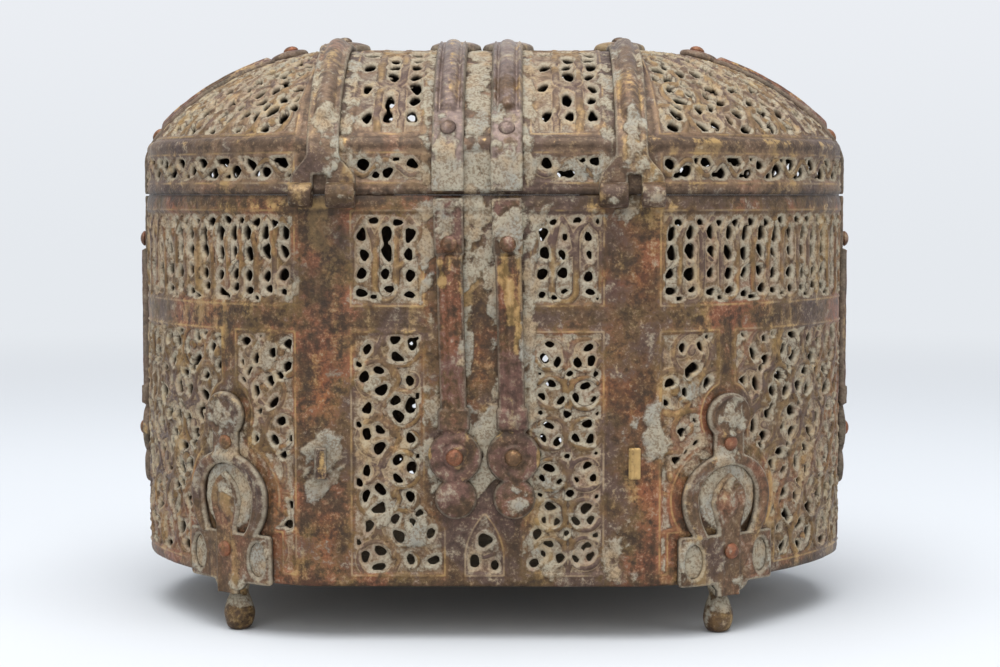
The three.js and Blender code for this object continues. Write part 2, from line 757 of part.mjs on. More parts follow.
function mountShape(distance) {
  const frame = wallFrame(distance, 0);
  const flat = (points) => prism(points, -cutReach, cutReach, frame);
  const window = [mountArchHalfWidth - mountArchBand, archHalfHeight - mountArchBand];
  const arch = flat(ellipse(0, archMiddle, mountArchHalfWidth, archHalfHeight, 12)).subtract(
    flat(ellipse(0, archMiddle, ...window, 10)),
  );
  const halfBud = [
    [mountStemHalfWidth, archFoot - mountStemHalfWidth],
    [mountStemHalfWidth, budFoot + mountStemHalfWidth],
    [mountBudHalfWidth, budFoot + mountBudHeight * 0.45],
    [mountBudHalfWidth * 0.66, budFoot + mountBudHeight * 0.75],
  ];
  const bud = [
    ...halfBud,
    [0, budFoot + mountBudHeight],
    ...halfBud.map(([x, y]) => [-x, y]).reverse(),
  ];
  const eyeHeight = standHeight + mountBaseHeight * 0.48;
  const eye = (side) =>
    ellipse(side * mountWidth * 0.35, eyeHeight, mountEyeHalfWidth, mountEyeHalfHeight, 6);
  const neck = [mountNeckHalfWidth, archTop - mountArchBand / 2, mountDiscMiddle];
  const outlineSolid = join([
    flat(rectangle(-mountWidth / 2, mountWidth / 2, mountBase, archFoot)),
    flat(ellipse(0, mountBase, mountTongueHalfWidth, mountTongueDrop, 8)),
    arch,
    flat(bud),
    flat(rectangle(-neck[0], neck[0], neck[1], neck[2])),
    flat(ellipse(0, mountDiscMiddle, mountDiscRadius, mountDiscRadius, 12)),
  ]).subtract(join([flat(eye(-1)), flat(eye(1))]));
  const shell = wallRing(
    -seatGap - mountThickness,
    -seatGap,
    mountBase - 2 * mountTongueDrop,
    mountTop + mountThickness,
  );
  // Only the stretch of the ring in front of this foot counts.
  const near = prism(rectangle(-mountWidth, mountWidth, 0, seam), -mountWidth, mountWidth, frame);
  return shell.intersect(outlineSolid).intersect(near);
}

const footHeight = standHeight - seatGap;
const footProfile = [
  [0, 0],
  [0.5, 0],
  [0.88, 0.11],
  [1, 0.3],
  [0.94, 0.48],
  [footNeckRadius / footRadius, 0.78],
  [footNeckRadius / footRadius, 1],
  [0, 1],
].map(([r, h]) => new THREE.Vector2(r * footRadius, h * footHeight));

for (const [corner, distance] of Object.entries(feet)) {
  const rivets = [
    ["low", wallFrame(distance, standHeight + mountRivetLow)],
    ["high", wallFrame(distance, standHeight + mountRivetHigh)],
  ];
  const mount = mountShape(distance).subtract(join(rivets.map(([, spot]) => hole(spot))));
  addPiece(body, `foot_mount_${corner}`, geometryOf(mount), materials.mount);
  for (const [which, spot] of rivets)
    addWallRivet(`foot_mount_${corner}_rivet_${which}`, spot, mountThickness);
  const [fx, fy] = wallPoint(distance, footInset);
  const foot = new THREE.LatheGeometry(footProfile, 10).rotateX(Math.PI / 2);
  addPiece(body, `foot_${corner}`, foot, materials.foot, new THREE.Matrix4().makeTranslation(fx, fy, 0));
}

// Stubs of the two hasp staples, clenched inside the wall.
for (const [name, distance] of Object.entries({
  hasp_staple_left: girth - outerStrapX - stapleOut,
  hasp_staple_right: outerStrapX + stapleOut,
})) {
  const box = (growSideways, growUpright, low, high) => {
    const w = stapleWidth / 2 + growSideways;
    const l = stapleLength / 2 + growUpright;
    return prism(rectangle(-w, w, -l, l), low, high);
  };
  const inside = -wallThickness - seatGap;
  const frame = wallFrame(distance, seam - stapleDrop);
  const shape = join([
    box(0, 0, inside - stapleClench, stapleProud),
    box(0, stapleClench, inside - stapleClench, inside),
  ]);
  wallCuts.push(place(box(seatGap, seatGap, -cutReach, cutReach), frame));
  addPiece(body, name, geometryOf(shape), materials.staple, frame);
}

// The wall: a ring with pierced panels.
const panelBands = [
  [friezeFoot, friezeTop],
  [panelFoot, panelTop],
];
const leaves = [];
const grounds = [];
for (const [from, to] of panels)
  for (const [low, high] of panelBands) {
    leaves.push(...piercePanel(from, to, low, high));
    // A foot's mount stands on a plain stem, which parts the lower belt.
    const foot = Object.values(feet).find((f) => low === panelFoot && f > from && f < to);
    const stretches = foot ? [[from, foot - stemHalfWidth], [foot + stemHalfWidth, to]] : [[from, to]];
    grounds.push(...stretches.map(([start, stop]) => sunkWall(start, stop, low, high)));
  }
const wall = wallRing(0, wallThickness, standHeight, seam)
  .subtract(join(grounds))
  .subtract(join(leaves))
  .subtract(join(wallCuts));
addPiece(body, "body_wall", geometryOf(wall), materials.wall);

const base = prism(outline(wallThickness + seatGap), standHeight, standHeight + baseThickness);
addPiece(body, "base_plate", geometryOf(base), materials.wall);

// The lid's shell.
function domeSolid(inward) {
  const rings = [
    { inset: inward, height: inward ? lidFoot - 1 : lidFoot },
    ...domeStations.map((share) => domePoint(share, -inward)),
  ];
  return loft(rings.map(({ inset, height }) => outline(inset).map(([x, y]) => [x, y, height])));
}

// A frame on the dome over a corner: round is 0 at the front or back and 1 at the end.
function cornerFrame(sx, sy, run, round, share) {
  const at = (r, s) => {
    const { inset, height } = lidPoint(s, 0);
    const angle = (r * Math.PI) / 2;
    const across = frontFlat + (run - inset) * Math.sin(angle) ** curve;
    const along = sideFlat + (cornerDepth - inset) * Math.cos(angle) ** curve;
    return new THREE.Vector3(sx * across, sy * along, height);
  };
  const here = at(round, share);
  const along = at(round + 0.02, share).sub(at(round - 0.02, share)).normalize();
  const up = at(round, share + 0.02).sub(at(round, share - 0.02)).normalize();
  const out = new THREE.Vector3().crossVectors(along, up);
  if (out.z + out.x * sx < 0) out.negate();
  const right = new THREE.Vector3().crossVectors(up, out);
  return new THREE.Matrix4().makeBasis(right, up, out.normalize()).setPosition(here);
}

const lidLeaves = [];
const pairShift = 6; // from the middle of a panel of the lid to each of its two columns
const crownRow = 11; // from the middle of the crown to its two rows
// Rows of piercings round the lid, and how many facets they miss at each end of a corner.
const lidRows = [
  { share: -0.36, missed: 1 },
  { share: 1.5 / domeSteps, missed: 1 },
  { share: 2.5 / domeSteps, missed: 2 },
  { share: 3.5 / domeSteps, missed: cornerSteps / 2 },
];
for (const [sx, sy, run] of corners) {
  for (const { share, missed } of lidRows)
    for (let facet = missed; facet < cornerSteps - missed; facet++) {
      const frame = cornerFrame(sx, sy, run, (facet + 0.5) / cornerSteps, share);
      const scale = share < 0 ? skirtScale : lidScale;
      lidLeaves.push(piercing(frame, lozenge(scale), share < 0 ? 0 : leafLean));
    }
}
const lidPanelX = (centreStrapX + plateWidth / 2 + outerStrapX - plateWidth / 2) / 2;
for (const side of ["front", "back"])
  for (const x of [-lidPanelX, lidPanelX])
    for (const { share } of lidRows)
      for (const shift of [-1, 1]) {
        const frame = lidFrame(share, x + shift * pairShift, side);
        const points = share < 0 ? lozenge(skirtScale) : leaf(lidScale);
        lidLeaves.push(piercing(frame, points, share < 0 ? 0 : leafLean * shift));
      }
for (const x of [-lidPanelX, lidPanelX])
  for (const y of [-crownRow, crownRow]) {
    const frame = new THREE.Matrix4().makeTranslation(x, y, crown);
    lidLeaves.push(piercing(frame, lozenge(), 0));
  }

// The grounds of the lid's panels and the moulding below them.
const skirtFoot = -1 + skirtFriezeFoot / (lidSkirt - seatGap);
const lidBelts = [[skirtFoot, 0], [domePanelFoot, domePanelTop]];
const backPanels = [
  [backMiddle - bandStart, backMiddle - centreStripHalf],
  [backMiddle + centreStripHalf, backMiddle + bandStart],
];
const lidPanels = [...panels.filter(([from, to]) => from > backMiddle || to < backMiddle), ...backPanels];
const lidGrounds = lidPanels.flatMap(([from, to]) =>
  lidBelts.map(([low, high]) => lidSlab(from, to, low, high, cutReach, -panelSink)),
);
const mouldings = lidPanels.map(([from, to]) =>
  lidSlab(from, to, mouldingFoot, mouldingTop, mouldingHeight, -panelSink),
);

// The lid's straps with their rivets.
const lidCuts = [];
function addLidRivet(name, frame, proud) {
  const seat = frame.clone().multiply(new THREE.Matrix4().makeTranslation(0, 0, seatGap + proud));
  lidCuts.push(hole(frame));
  addPiece(lid, name, rivetGeometry(proud + seatGap + lidThickness), materials.rivet, seat);
}

const plateRivetShare = lidPlateReach * 0.62;
const lidPlate = plateSection(plateWidth, plateHeight);
const lidBar = reededSection(barWidth, barHeight);
for (const [hand, sign] of [["left", -1], ["right", 1]]) {
  for (const [kind, offset] of [["centre", centreStrapX], ["outer", outerStrapX]]) {
    const x = sign * offset;
    const name = `lid_strap_${kind}_${hand}`;
    const rivets =
      kind === "outer"
        ? [["crown", new THREE.Matrix4().makeTranslation(x, 0, crown), crownDiscHeight]]
        : ["front", "back"].map((end) => {
            const frame = lidFrame(plateRivetShare, end === "front" ? x : -x, end);
            return [end, frame, plateHeight];
          });
    const strap = lidStrap(x, kind).subtract(join(rivets.map(([, frame]) => hole(frame))));
    addPiece(lid, name, geometryOf(strap), materials.strap);
    for (const [which, frame, proud] of rivets) addLidRivet(`${name}_rivet_${which}`, frame, proud);
  }
  const rivets = [
    ["low", lidFrame(plateRivetShare, 0, hand), plateHeight],
    ["high", lidFrame(sideStrapReach - 0.08, 0, hand), barHeight],
  ];
  const strap = join([
    loft(lidStrapRings(lidPlate, 0, hand, stationsBetween(-0.95, lidPlateReach + plateLap))),
    loft(lidStrapRings(lidBar, 0, hand, stationsBetween(lidPlateReach, sideStrapReach))),
  ]).subtract(join(rivets.map(([, frame]) => hole(frame))));
  addPiece(lid, `lid_side_strap_${hand}`, geometryOf(strap), materials.strap);
  for (const [which, frame, proud] of rivets)
    addLidRivet(`lid_side_strap_${hand}_rivet_${which}`, frame, proud);
}

const shell = join([domeSolid(0), ...mouldings])
  .subtract(join(lidGrounds))
  .subtract(domeSolid(lidThickness))
  .subtract(join(lidLeaves))
  .subtract(join(lidCuts));
addPiece(lid, "lid_shell", geometryOf(shell), materials.wall);

export default casket;
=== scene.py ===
# %% [markdown]
# # An openwork bronze casket, dressed for its portrait
# The casket is an old cast box of pierced bronze: a wall with very soft corners, a domed lid on
# two hinges, ribbed straps riveted over both, four pierced mounts and four teardrop feet. The
# construction comes in as a fixed frame. This lesson makes what the frame leaves plain: the fine
# piercing, the carved scrolls, the soft worn edges of a casting, and a skin of old patina.

# %% Load the frame
import json
import math

import bpy
import numpy as np
from mathutils import Matrix, Vector
from mathutils.bvhtree import BVHTree

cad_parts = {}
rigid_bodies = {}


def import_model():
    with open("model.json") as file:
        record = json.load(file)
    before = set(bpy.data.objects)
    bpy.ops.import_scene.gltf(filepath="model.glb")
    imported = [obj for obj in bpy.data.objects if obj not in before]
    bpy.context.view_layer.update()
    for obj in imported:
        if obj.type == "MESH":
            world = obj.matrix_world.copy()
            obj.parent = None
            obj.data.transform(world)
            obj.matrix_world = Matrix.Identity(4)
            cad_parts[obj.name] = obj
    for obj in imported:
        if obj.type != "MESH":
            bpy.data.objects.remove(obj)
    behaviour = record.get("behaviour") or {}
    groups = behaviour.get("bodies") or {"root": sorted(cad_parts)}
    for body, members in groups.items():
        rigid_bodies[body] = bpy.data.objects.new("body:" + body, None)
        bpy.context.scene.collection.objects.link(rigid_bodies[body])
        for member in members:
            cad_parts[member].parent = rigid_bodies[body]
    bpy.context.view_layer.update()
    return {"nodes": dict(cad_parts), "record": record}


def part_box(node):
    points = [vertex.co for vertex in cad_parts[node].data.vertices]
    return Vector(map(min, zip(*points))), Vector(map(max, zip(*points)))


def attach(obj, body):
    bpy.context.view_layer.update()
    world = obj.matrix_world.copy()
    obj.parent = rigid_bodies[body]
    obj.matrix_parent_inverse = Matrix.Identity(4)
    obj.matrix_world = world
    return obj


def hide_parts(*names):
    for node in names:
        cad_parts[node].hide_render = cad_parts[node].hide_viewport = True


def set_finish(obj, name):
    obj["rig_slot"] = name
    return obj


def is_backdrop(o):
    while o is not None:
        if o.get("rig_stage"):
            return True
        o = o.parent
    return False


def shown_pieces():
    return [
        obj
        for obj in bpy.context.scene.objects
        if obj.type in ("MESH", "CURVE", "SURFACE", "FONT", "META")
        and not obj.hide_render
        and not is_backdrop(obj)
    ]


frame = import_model()


def placed(name, data):
    """A new object in the scene."""
    made = bpy.data.objects.new(name, data)
    bpy.context.scene.collection.objects.link(made)
    return made


# %% [markdown]
# ## The portrait's camera
# The view is nearly level with the seam and square to the front, from about three quarters of a
# metre. The place was fitted to the picture with a pinhole model; the lens follows from the same
# fit. A camera is a lens in millimetres on a 36 mm wide film here.

# %% Camera
CAMERA_PLACE = (9.55, -734.4, 138.2)
CAMERA_TURN, CAMERA_TILT = math.radians(-0.58), math.radians(3.74)
FOCUS_PIXELS, PICTURE_WIDTH_PIXELS, FILM = 2119, 1000, 36
LENS = FOCUS_PIXELS * FILM / PICTURE_WIDTH_PIXELS

camera_data = bpy.data.cameras.new("camera")
camera_data.lens = LENS
camera_data.sensor_width = FILM
camera = placed("camera", camera_data)
camera.location = [v / 1000 for v in CAMERA_PLACE]
camera.rotation_euler = (math.pi / 2 - CAMERA_TILT, 0, -CAMERA_TURN)
bpy.context.scene.camera = camera
print("lens", round(LENS, 1), "mm")

# %% [markdown]
# ## The plan of the box
# The wall is upright, so one closed line drawn on the table gives its whole form: flat front and
# back, short flat ends, and four corners so soft that they take up most of the sides. Each corner
# is a curve between a chamfer and an ellipse. Every place on the wall or lid is given by a distance
# along this line, starting at the middle of the front, and a height.

# %% Plan line
WALL_FOOT, SEAM = 17.2, 138.2
FRONT_FLAT, SIDE_FLAT = 50.0, 10.0
LEFT_RUN, RIGHT_RUN, DEPTH_RUN = 64.0, 72.0, 75.0
HALF_DEPTH = SIDE_FLAT + DEPTH_RUN
MIDDLE = -4.0
CORNER_POWER = 4 / 3
CELL = 0.7


def corner_line(run, sx, sy, steps=600):
    """One corner from the front or back flat to the end: columns x0, y0 and how they move inwards."""
    angle = np.linspace(0, math.pi / 2, steps)
    s = np.sin(angle) ** CORNER_POWER
    c = np.maximum(np.cos(angle), 0) ** CORNER_POWER
    return np.stack([sx * (FRONT_FLAT + run * s), sy * (SIDE_FLAT + DEPTH_RUN * c), sx * s, sy * c], 1)


def flat_line(x0, y0, x1, y1, sx, sy, steps=60):
    """A flat stretch of the plan."""
    ends = np.array([[x0, y0, sx, sy], [x1, y1, sx, sy]], float)
    return ends[0] + (ends[1] - ends[0]) * np.linspace(0, 1, steps)[:, None]


def half_line(side):
    """The plan from the middle of the front to the middle of the back, by the right or left end."""
    run = RIGHT_RUN if side > 0 else LEFT_RUN
    flat, end = side * FRONT_FLAT, side * (FRONT_FLAT + run)
    parts = [
        flat_line(0, -HALF_DEPTH, flat, -HALF_DEPTH, 0, -1),
        corner_line(run, side, -1),
        flat_line(end, -SIDE_FLAT, end, SIDE_FLAT, side, 0),
        corner_line(run, side, 1)[::-1],
        flat_line(flat, HALF_DEPTH, 0, HALF_DEPTH, 0, 1),
    ]
    line = np.concatenate(parts)
    step = np.hypot(*np.diff(line[:, :2], axis=0).T)
    line = line[np.r_[True, step > 1e-6]]
    return np.r_[0, np.cumsum(np.hypot(*np.diff(line[:, :2], axis=0).T))], line


right_start, right_line = half_line(1)
left_start, left_line = half_line(-1)
RIGHT_WAY, LEFT_WAY = right_start[-1], left_start[-1]
GIRTH = RIGHT_WAY + LEFT_WAY
RIGHT_END, LEFT_END = RIGHT_WAY / 2, -LEFT_WAY / 2
print("girth", round(GIRTH, 1), "mm, by the right", round(RIGHT_WAY, 1), "and the left", round(LEFT_WAY, 1))


def plan_at(distance):
    """Plan columns at distances from the middle of the front, negative towards the left."""
    d = np.asarray(distance, float)
    d = np.where(d > RIGHT_WAY, d - GIRTH, d)
    right = np.stack([np.interp(d, right_start, right_line[:, k]) for k in range(4)], -1)
    left = np.stack([np.interp(-d, left_start, left_line[:, k]) for k in range(4)], -1)
    return np.where((d >= 0)[..., None], right, left)


# %% [markdown]
# ## A sheet of metal as a net of cells
# Openwork could be cut with booleans, hole by hole, but thousands of cuts leave ragged meshes. Here
# each curved sheet is a fine net of cells. Every crossing of the net knows how far it lies from the
# nearest hole of the carving. Inside a hole there is no metal, and crossings near its edge slide
# onto it, so that each hole gets a clean rounded edge.

# %% Soft shapes


def soft_step(v, low, high):
    """0 below low, 1 above high and smooth between."""
    t = np.clip((v - low) / (high - low), 0, 1)
    return t * t * (3 - 2 * t)


def bell(v, width, power=2):
    """1 where v is 0, falling to nothing a few widths away; a higher power gives a flatter top."""
    return np.exp(-((v / width) ** power))


def dome(v, half):
    """A round swelling, 1 in the middle and 0 from its half width on."""
    return np.sqrt(np.clip(1 - (v / half) ** 2, 0, 1))


def ripple(places, size, seed, octaves=2):
    """Smooth irregular numbers between about -1 and 1, from crossing waves, for uneven handwork."""
    rng = np.random.default_rng(seed)
    total = np.zeros(places.shape[:-1])
    weight = 1.0
    for _ in range(octaves):
        for _ in range(7):
            way = rng.normal(size=3)
            way *= 2 * math.pi / (size * np.linalg.norm(way)) * rng.uniform(0.7, 1.4)
            total += weight * np.sin(places @ way + rng.uniform(0, 6.28))
        size, weight = size / 2.1, weight * 0.5
    return total / 4.0


# %% Net of a sheet


class Sheet:
    """Places, outward directions and carving of a net; the first index runs round the casket."""

    def __init__(self, places, closed):
        self.places, self.closed, self.stretch = places, closed, 1.0
        around = (np.roll(places, -1, 0) - np.roll(places, 1, 0)) / 2
        along = around if closed else np.gradient(places, axis=0)
        up = np.gradient(places, axis=1)
        self.cell_along = np.maximum(np.linalg.norm(along, axis=2), 1e-3)
        self.cell_up = np.maximum(np.linalg.norm(up, axis=2), 1e-3)
        out = np.cross(along, up)
        self.out = out / np.maximum(np.linalg.norm(out, axis=2, keepdims=True), 1e-9)
        shape = places.shape[:2]
        self.near, self.gap, self.inside = np.full(shape, 9.0), np.full(shape, 4.0), np.full(shape, -9.0)
        self.crust, self.shade, self.warm, self.rise, self.crest = np.zeros((5, *shape))

    def frame(self, i, j):
        """Place, direction along and direction up at whole net indices."""
        out = self.out[i, j]
        along = self.places[(i + 1) % len(self.places), j] - self.places[i - 1, j]
        along -= out * along.dot(out)
        along /= np.linalg.norm(along)
        return self.places[i, j], along, np.cross(out, along)


# %% [markdown]
# ## Casting the net into metal
# The net becomes a solid sheet: the carved face outside, a smooth face inside and a wall of metal
# round every hole. This is what a Solidify modifier does, written out so that the carving stays on
# the outside only, and so that each point keeps its distances for the patina.

# %% Cast a sheet
LEAST_METAL = 0.15


def slide_to_edge(metal, channels, closed):
    """Moves the net's crossings that lie next to the edge of the metal onto it."""
    best = np.full(metal.shape, 0.5)
    move = np.zeros_like(channels)
    hit = np.zeros(metal.shape, bool)
    for axis, step in ((0, 1), (0, -1), (1, 1), (1, -1)):
        other = np.roll(metal, -step, axis)
        there = np.roll(channels, -step, axis)
        change = metal * other < 0
        if axis == 1 or not closed:
            edge = [slice(None), slice(None)]
            edge[axis] = -1 if step == 1 else 0
            change[tuple(edge)] = False
        t = np.where(change, metal / np.where(change, metal - other, 1), 9)
        better = t <= best
        best = np.where(better, t, best)
        hit |= better
        move[better] = (t[..., None] * (there - channels))[better]
    return np.where(hit, 0, metal), channels + move


def cells_of(metal, state, closed):
    """The cells and half cells that are metal, as lists of corner indices."""
    count_i, count_j = metal.shape
    i = np.arange(count_i if closed else count_i - 1)
    gi, gj = np.meshgrid(i, np.arange(count_j - 1), indexing="ij")
    here, ahead = gi * count_j + gj, (gi + 1) % count_i * count_j + gj
    corners = np.stack([here, ahead, ahead + 1, here + 1], -1).reshape(-1, 4)
    s = np.sign(state.reshape(-1)[corners])
    middle = metal.reshape(-1)[corners].mean(1)
    full = (s >= 0).all(1) & ((s > 0).any(1) | (middle > 0))
    triangles = []
    for k in range(4):
        across = (k + 2) % 4
        opposite = (s[:, k] > 0) & (s[:, across] < 0)
        lone = (s[:, across] < 0) & (np.delete(s, across, 1) == 0).all(1) & (middle > 0)
        triangles.append(corners[opposite | lone][:, [(k - 1) % 4, k, (k + 1) % 4]])
    return corners[full], np.concatenate(triangles)


def boundary_edges(quads, triangles, total):
    """Edges that have a face on one side only, in the direction of that face."""
    sides = [(f, k) for f in (quads, triangles) for k in range(f.shape[1])]
    edges = np.concatenate([np.stack([f[:, k], np.roll(f, -1, 1)[:, k]], 1) for f, k in sides])
    forward = edges[:, 0] * total + edges[:, 1]
    backward = edges[:, 1] * total + edges[:, 0]
    return edges[~np.isin(forward, backward)]


def keep(mesh, name, values):
    """Keeps a number for each point of a mesh, for the patina to read."""
    mesh.attributes.new(name, "FLOAT", "POINT").data.foreach_set("value", values.astype(np.float32))


def cast(sheet, name, thickness, metal, rise, fields, weld=None):
    """Builds the solid sheet as a mesh object in metres, with its fields kept as attributes."""
    solid = metal.copy()
    count_i, count_j = metal.shape
    total = metal.size
    layers = [sheet.places, sheet.out, rise[..., None]] + [field[..., None] for field in fields.values()]
    channels = np.concatenate(layers, -1)
    for _ in range(6):
        state, moved = slide_to_edge(solid, channels, sheet.closed)
        quads, triangles = cells_of(solid, state, sheet.closed)
        if weld is not None:
            quads, triangles = weld[quads], weld[triangles]
        rim = boundary_edges(quads, triangles, total)
        # Where two holes meet in one point, a little metal is put back.
        pinched = np.flatnonzero(np.bincount(rim[:, 0], minlength=total) > 1)
        if not len(pinched):
            break
        for i, j in zip(*np.divmod(pinched, count_j)):
            cols = np.clip(np.arange(j - 1, j + 2), 0, count_j - 1)
            spot = np.ix_(np.arange(i - 1, i + 2) % count_i, cols)
            solid[spot] = np.maximum(solid[spot], LEAST_METAL)
    used = np.unique(np.concatenate([quads.ravel(), triangles.ravel()]))
    place = np.full(total, -1)
    place[used] = np.arange(len(used))
    count = len(used)
    flat = moved.reshape(-1, moved.shape[-1])[used]
    out = flat[:, 3:6] / np.linalg.norm(flat[:, 3:6], axis=1, keepdims=True)
    points = np.concatenate([flat[:, :3] + out * flat[:, 6:7], flat[:, :3] - out * thickness])
    q, t, r = place[quads], place[triangles], place[rim]
    walls = np.stack([r[:, 1], r[:, 0], r[:, 0] + count, r[:, 1] + count], 1)
    faces = [q, t, (q + count)[:, ::-1], (t + count)[:, ::-1], walls]
    sizes = np.concatenate([np.full(len(f), f.shape[1]) for f in faces])
    loops = np.concatenate([f.ravel() for f in faces])
    mesh = bpy.data.meshes.new(name)
    mesh.vertices.add(2 * count)
    mesh.vertices.foreach_set("co", (points / 1000).astype(np.float32).ravel())
    mesh.loops.add(len(loops))
    mesh.loops.foreach_set("vertex_index", loops.astype(np.int32))
    mesh.polygons.add(len(sizes))
    mesh.polygons.foreach_set("loop_start", np.r_[0, np.cumsum(sizes)[:-1]].astype(np.int32))
    mesh.polygons.foreach_set("loop_total", sizes.astype(np.int32))
    mesh.update(calc_edges=True)
    mesh.validate()
    mesh.shade_smooth()
    for k, key in enumerate(fields):
        keep(mesh, key, np.tile(flat[:, 7 + k], 2))
    keep(mesh, "inner", np.repeat([0.0, 1.0], count))
    print(name, len(mesh.polygons), "faces, pinched left", len(pinched))
    return placed(name, mesh)


# %% [markdown]
# ## The carver's motifs
# The openwork is a plate with drilled and filed holes, and scrolling stems that run between them in
# low relief. So every motif has two parts: strokes, which raise a stem with its two incised edges,
# and holes, which are eggs, almonds and rounded triangles, no two quite alike.

# %% Strokes and holes
HOLE_SQUARENESS = 2.3


def stroke_distance(points, widths, x, y):
    """Distances from the edge of a stroke, negative on it."""
    start, way = points[:-1], np.diff(points, axis=0)
    px, py = x[..., None] - start[:, 0], y[..., None] - start[:, 1]
    t = np.clip((px * way[:, 0] + py * way[:, 1]) / np.maximum((way**2).sum(1), 1e-9), 0, 1)
    half = widths[:-1] + np.diff(widths) * t
    return (np.hypot(px - t * way[:, 0], py - t * way[:, 1]) - half).min(-1)


def arc(cx, cy, r0, r1, start, sweep, steps=18):
    """Points on an arc or spiral."""
    a = np.linspace(start, start + sweep, steps)
    r = np.linspace(r0, r1, steps)
    return np.stack([cx + r * np.cos(a), cy + r * np.sin(a)], 1)


def curl(points, *widths):
    """A stroke through points, its half width following a few values along it."""
    points = np.array(points, float)
    return points, 1.2 * np.interp(np.linspace(0, 1, len(points)), np.linspace(0, 1, len(widths)), widths)


def egg(rng, x, y, long, short, turn):
    """One hole: its middle, half length, half width, direction, taper and two irregularities."""
    size = rng.uniform(1.0, 1.34)
    return (
        x + rng.uniform(-0.6, 0.6),
        y + rng.uniform(-0.6, 0.6),
        long * size,
        short * size * rng.uniform(0.88, 1.15),
        turn + rng.uniform(-0.25, 0.25),
        rng.uniform(-0.35, 0.35),
        rng.uniform(0, 6.28),
        rng.uniform(0.02, 0.12),
    )


def eggs(rng, *rows):
    return [egg(rng, *row) for row in rows]


def hole_distance(hole, x, y):
    """Distance outside a hole's edge in mm."""
    cx, cy, long, short, turn, taper, phase, rough = hole
    px = (x - cx) * math.cos(turn) + (y - cy) * math.sin(turn)
    py = (y - cy) * math.cos(turn) - (x - cx) * math.sin(turn)
    width = short * (1 - taper * np.clip(px / long, -1, 1))
    around = np.arctan2(py / width, px / long)
    reach = np.abs(px / long) ** HOLE_SQUARENESS + np.abs(py / width) ** HOLE_SQUARENESS
    reach = reach ** (1 / HOLE_SQUARENESS)
    return (reach - 1 - rough * np.sin(3 * around + phase)) * 0.9 * min(long, short)


def stamp(sheet, distance, height, strokes, holes, reach):
    """Carves strokes and holes, in mm round one place of a sheet."""
    i, j = sheet.to_net(distance, height)
    count_i, count_j = sheet.places.shape[:2]
    i0, j0 = int(round(i)) % count_i, int(np.clip(round(j), 0, count_j - 1))
    ni = int(reach / sheet.cell_along[i0, j0]) + 2
    nj = int(reach * sheet.stretch / sheet.cell_up[i0, j0]) + 2
    rows = np.unique(np.arange(i0 - ni, i0 + ni + 1) % count_i)
    cols = np.arange(max(0, j0 - nj), min(count_j, j0 + nj + 1))
    grid = np.ix_(rows, cols)
    place, along, up = sheet.frame(i0, j0)
    local = sheet.places[grid] - place
    x, y = local @ along, local @ up / sheet.stretch
    for points, widths in strokes:
        sheet.near[grid] = np.minimum(sheet.near[grid], stroke_distance(points, widths, x, y))
    for hole in holes:
        sheet.gap[grid] = np.minimum(sheet.gap[grid], hole_distance(hole, x, y))


# %% Motifs


def vine_ring(rng, radius, turn, hand):
    """A ring of stem with a curling tail and a leaf: three holes inside, one in a corner outside."""
    strokes = [curl(arc(0, 0, radius, radius, turn, 2 * math.pi, 30), 0.75, 0.6, 0.75)]
    tail = arc(0, 0, radius, radius * 0.12, turn, hand * 4.4, 18)
    strokes.append(curl(tail, 0.75, 0.6, 0.55, rng.uniform(0.9, 1.7)))
    leaf = arc(0, 0, radius * 1.05, radius * 0.42, turn + hand * 4.9, hand * 0.7, 8)
    strokes.append(curl(leaf, 0.5, rng.uniform(1.0, 1.9), 0.3))
    holes = []
    for k, (out, long, short) in enumerate(((0.62, 1.9, 1.15), (0.52, 1.6, 1.2), (0.6, 1.45, 1.0))):
        angle = turn + hand * (0.75 + k * 2.09)
        r = radius * out
        holes.append(egg(rng, r * math.cos(angle), r * math.sin(angle), long, short, angle + 1.57))
    holes.append(egg(rng, 0.8 * radius, 0.86 * radius, 1.15, 0.85, rng.uniform(0, 3)))
    return strokes, holes


def lancet(rng, pitch, tall, odd):
    """One bay of an arcade: two shafts, a pointed arch or a loop at the foot, and holes above each other."""
    half = pitch / 2
    spring = tall * rng.uniform(0.5, 0.74)
    strokes = []
    for s in (-1, 1):
        shaft = [(s * half, tall * rng.uniform(0.06, 0.3)), (s * half, spring)]
        strokes.append(curl(shaft, 0.8, 1.05, 0.8))
    lean = rng.uniform(-0.6, 0.6)
    for s in (-1, 1):
        shoulder = (s * half * 0.86, spring + tall * 0.1)
        top = [(s * half, spring), shoulder, (lean + s * half * 0.36, tall * 0.88), (lean, tall * 0.96)]
        strokes.append(curl(top, 0.8, 0.7, 0.5))
    if odd:
        strokes.append(curl(arc(0, tall * 0.14, half, half, math.pi, math.pi, 14), 0.8, 0.7, 0.8))
    knot = rng.uniform(0.36, 0.52)
    if rng.random() < 0.5:
        tie = [(-half, tall * (knot - 0.12)), (0, tall * knot), (half, tall * (knot + 0.1))]
        strokes.append(curl(tie, 0.8, 0.5, 0.8))
    else:
        strokes.append(curl(arc(0, tall * knot, 0.9, 0.9, 0, 6.28, 10), 0.45))
    up = math.pi / 2
    column = [
        (0, tall * 0.77, 2.0, 1.15, up),
        (0, tall * 0.56, 1.9, 1.2, up + 0.3),
        (0, tall * 0.31, 1.7, 1.3, up - 0.3),
    ]
    column.append((0.2 * half, tall * 0.13, 1.35, 1.0, 0.2) if odd else (0, tall * 0.1, 1.5, 0.9, 0.0))
    column.append((half, tall * 0.91, 1.4, 0.95, 0.0))
    if not odd:
        column.append((half, tall * 0.045, 1.2, 0.7, 0.0))
    return strokes, eggs(rng, *column)


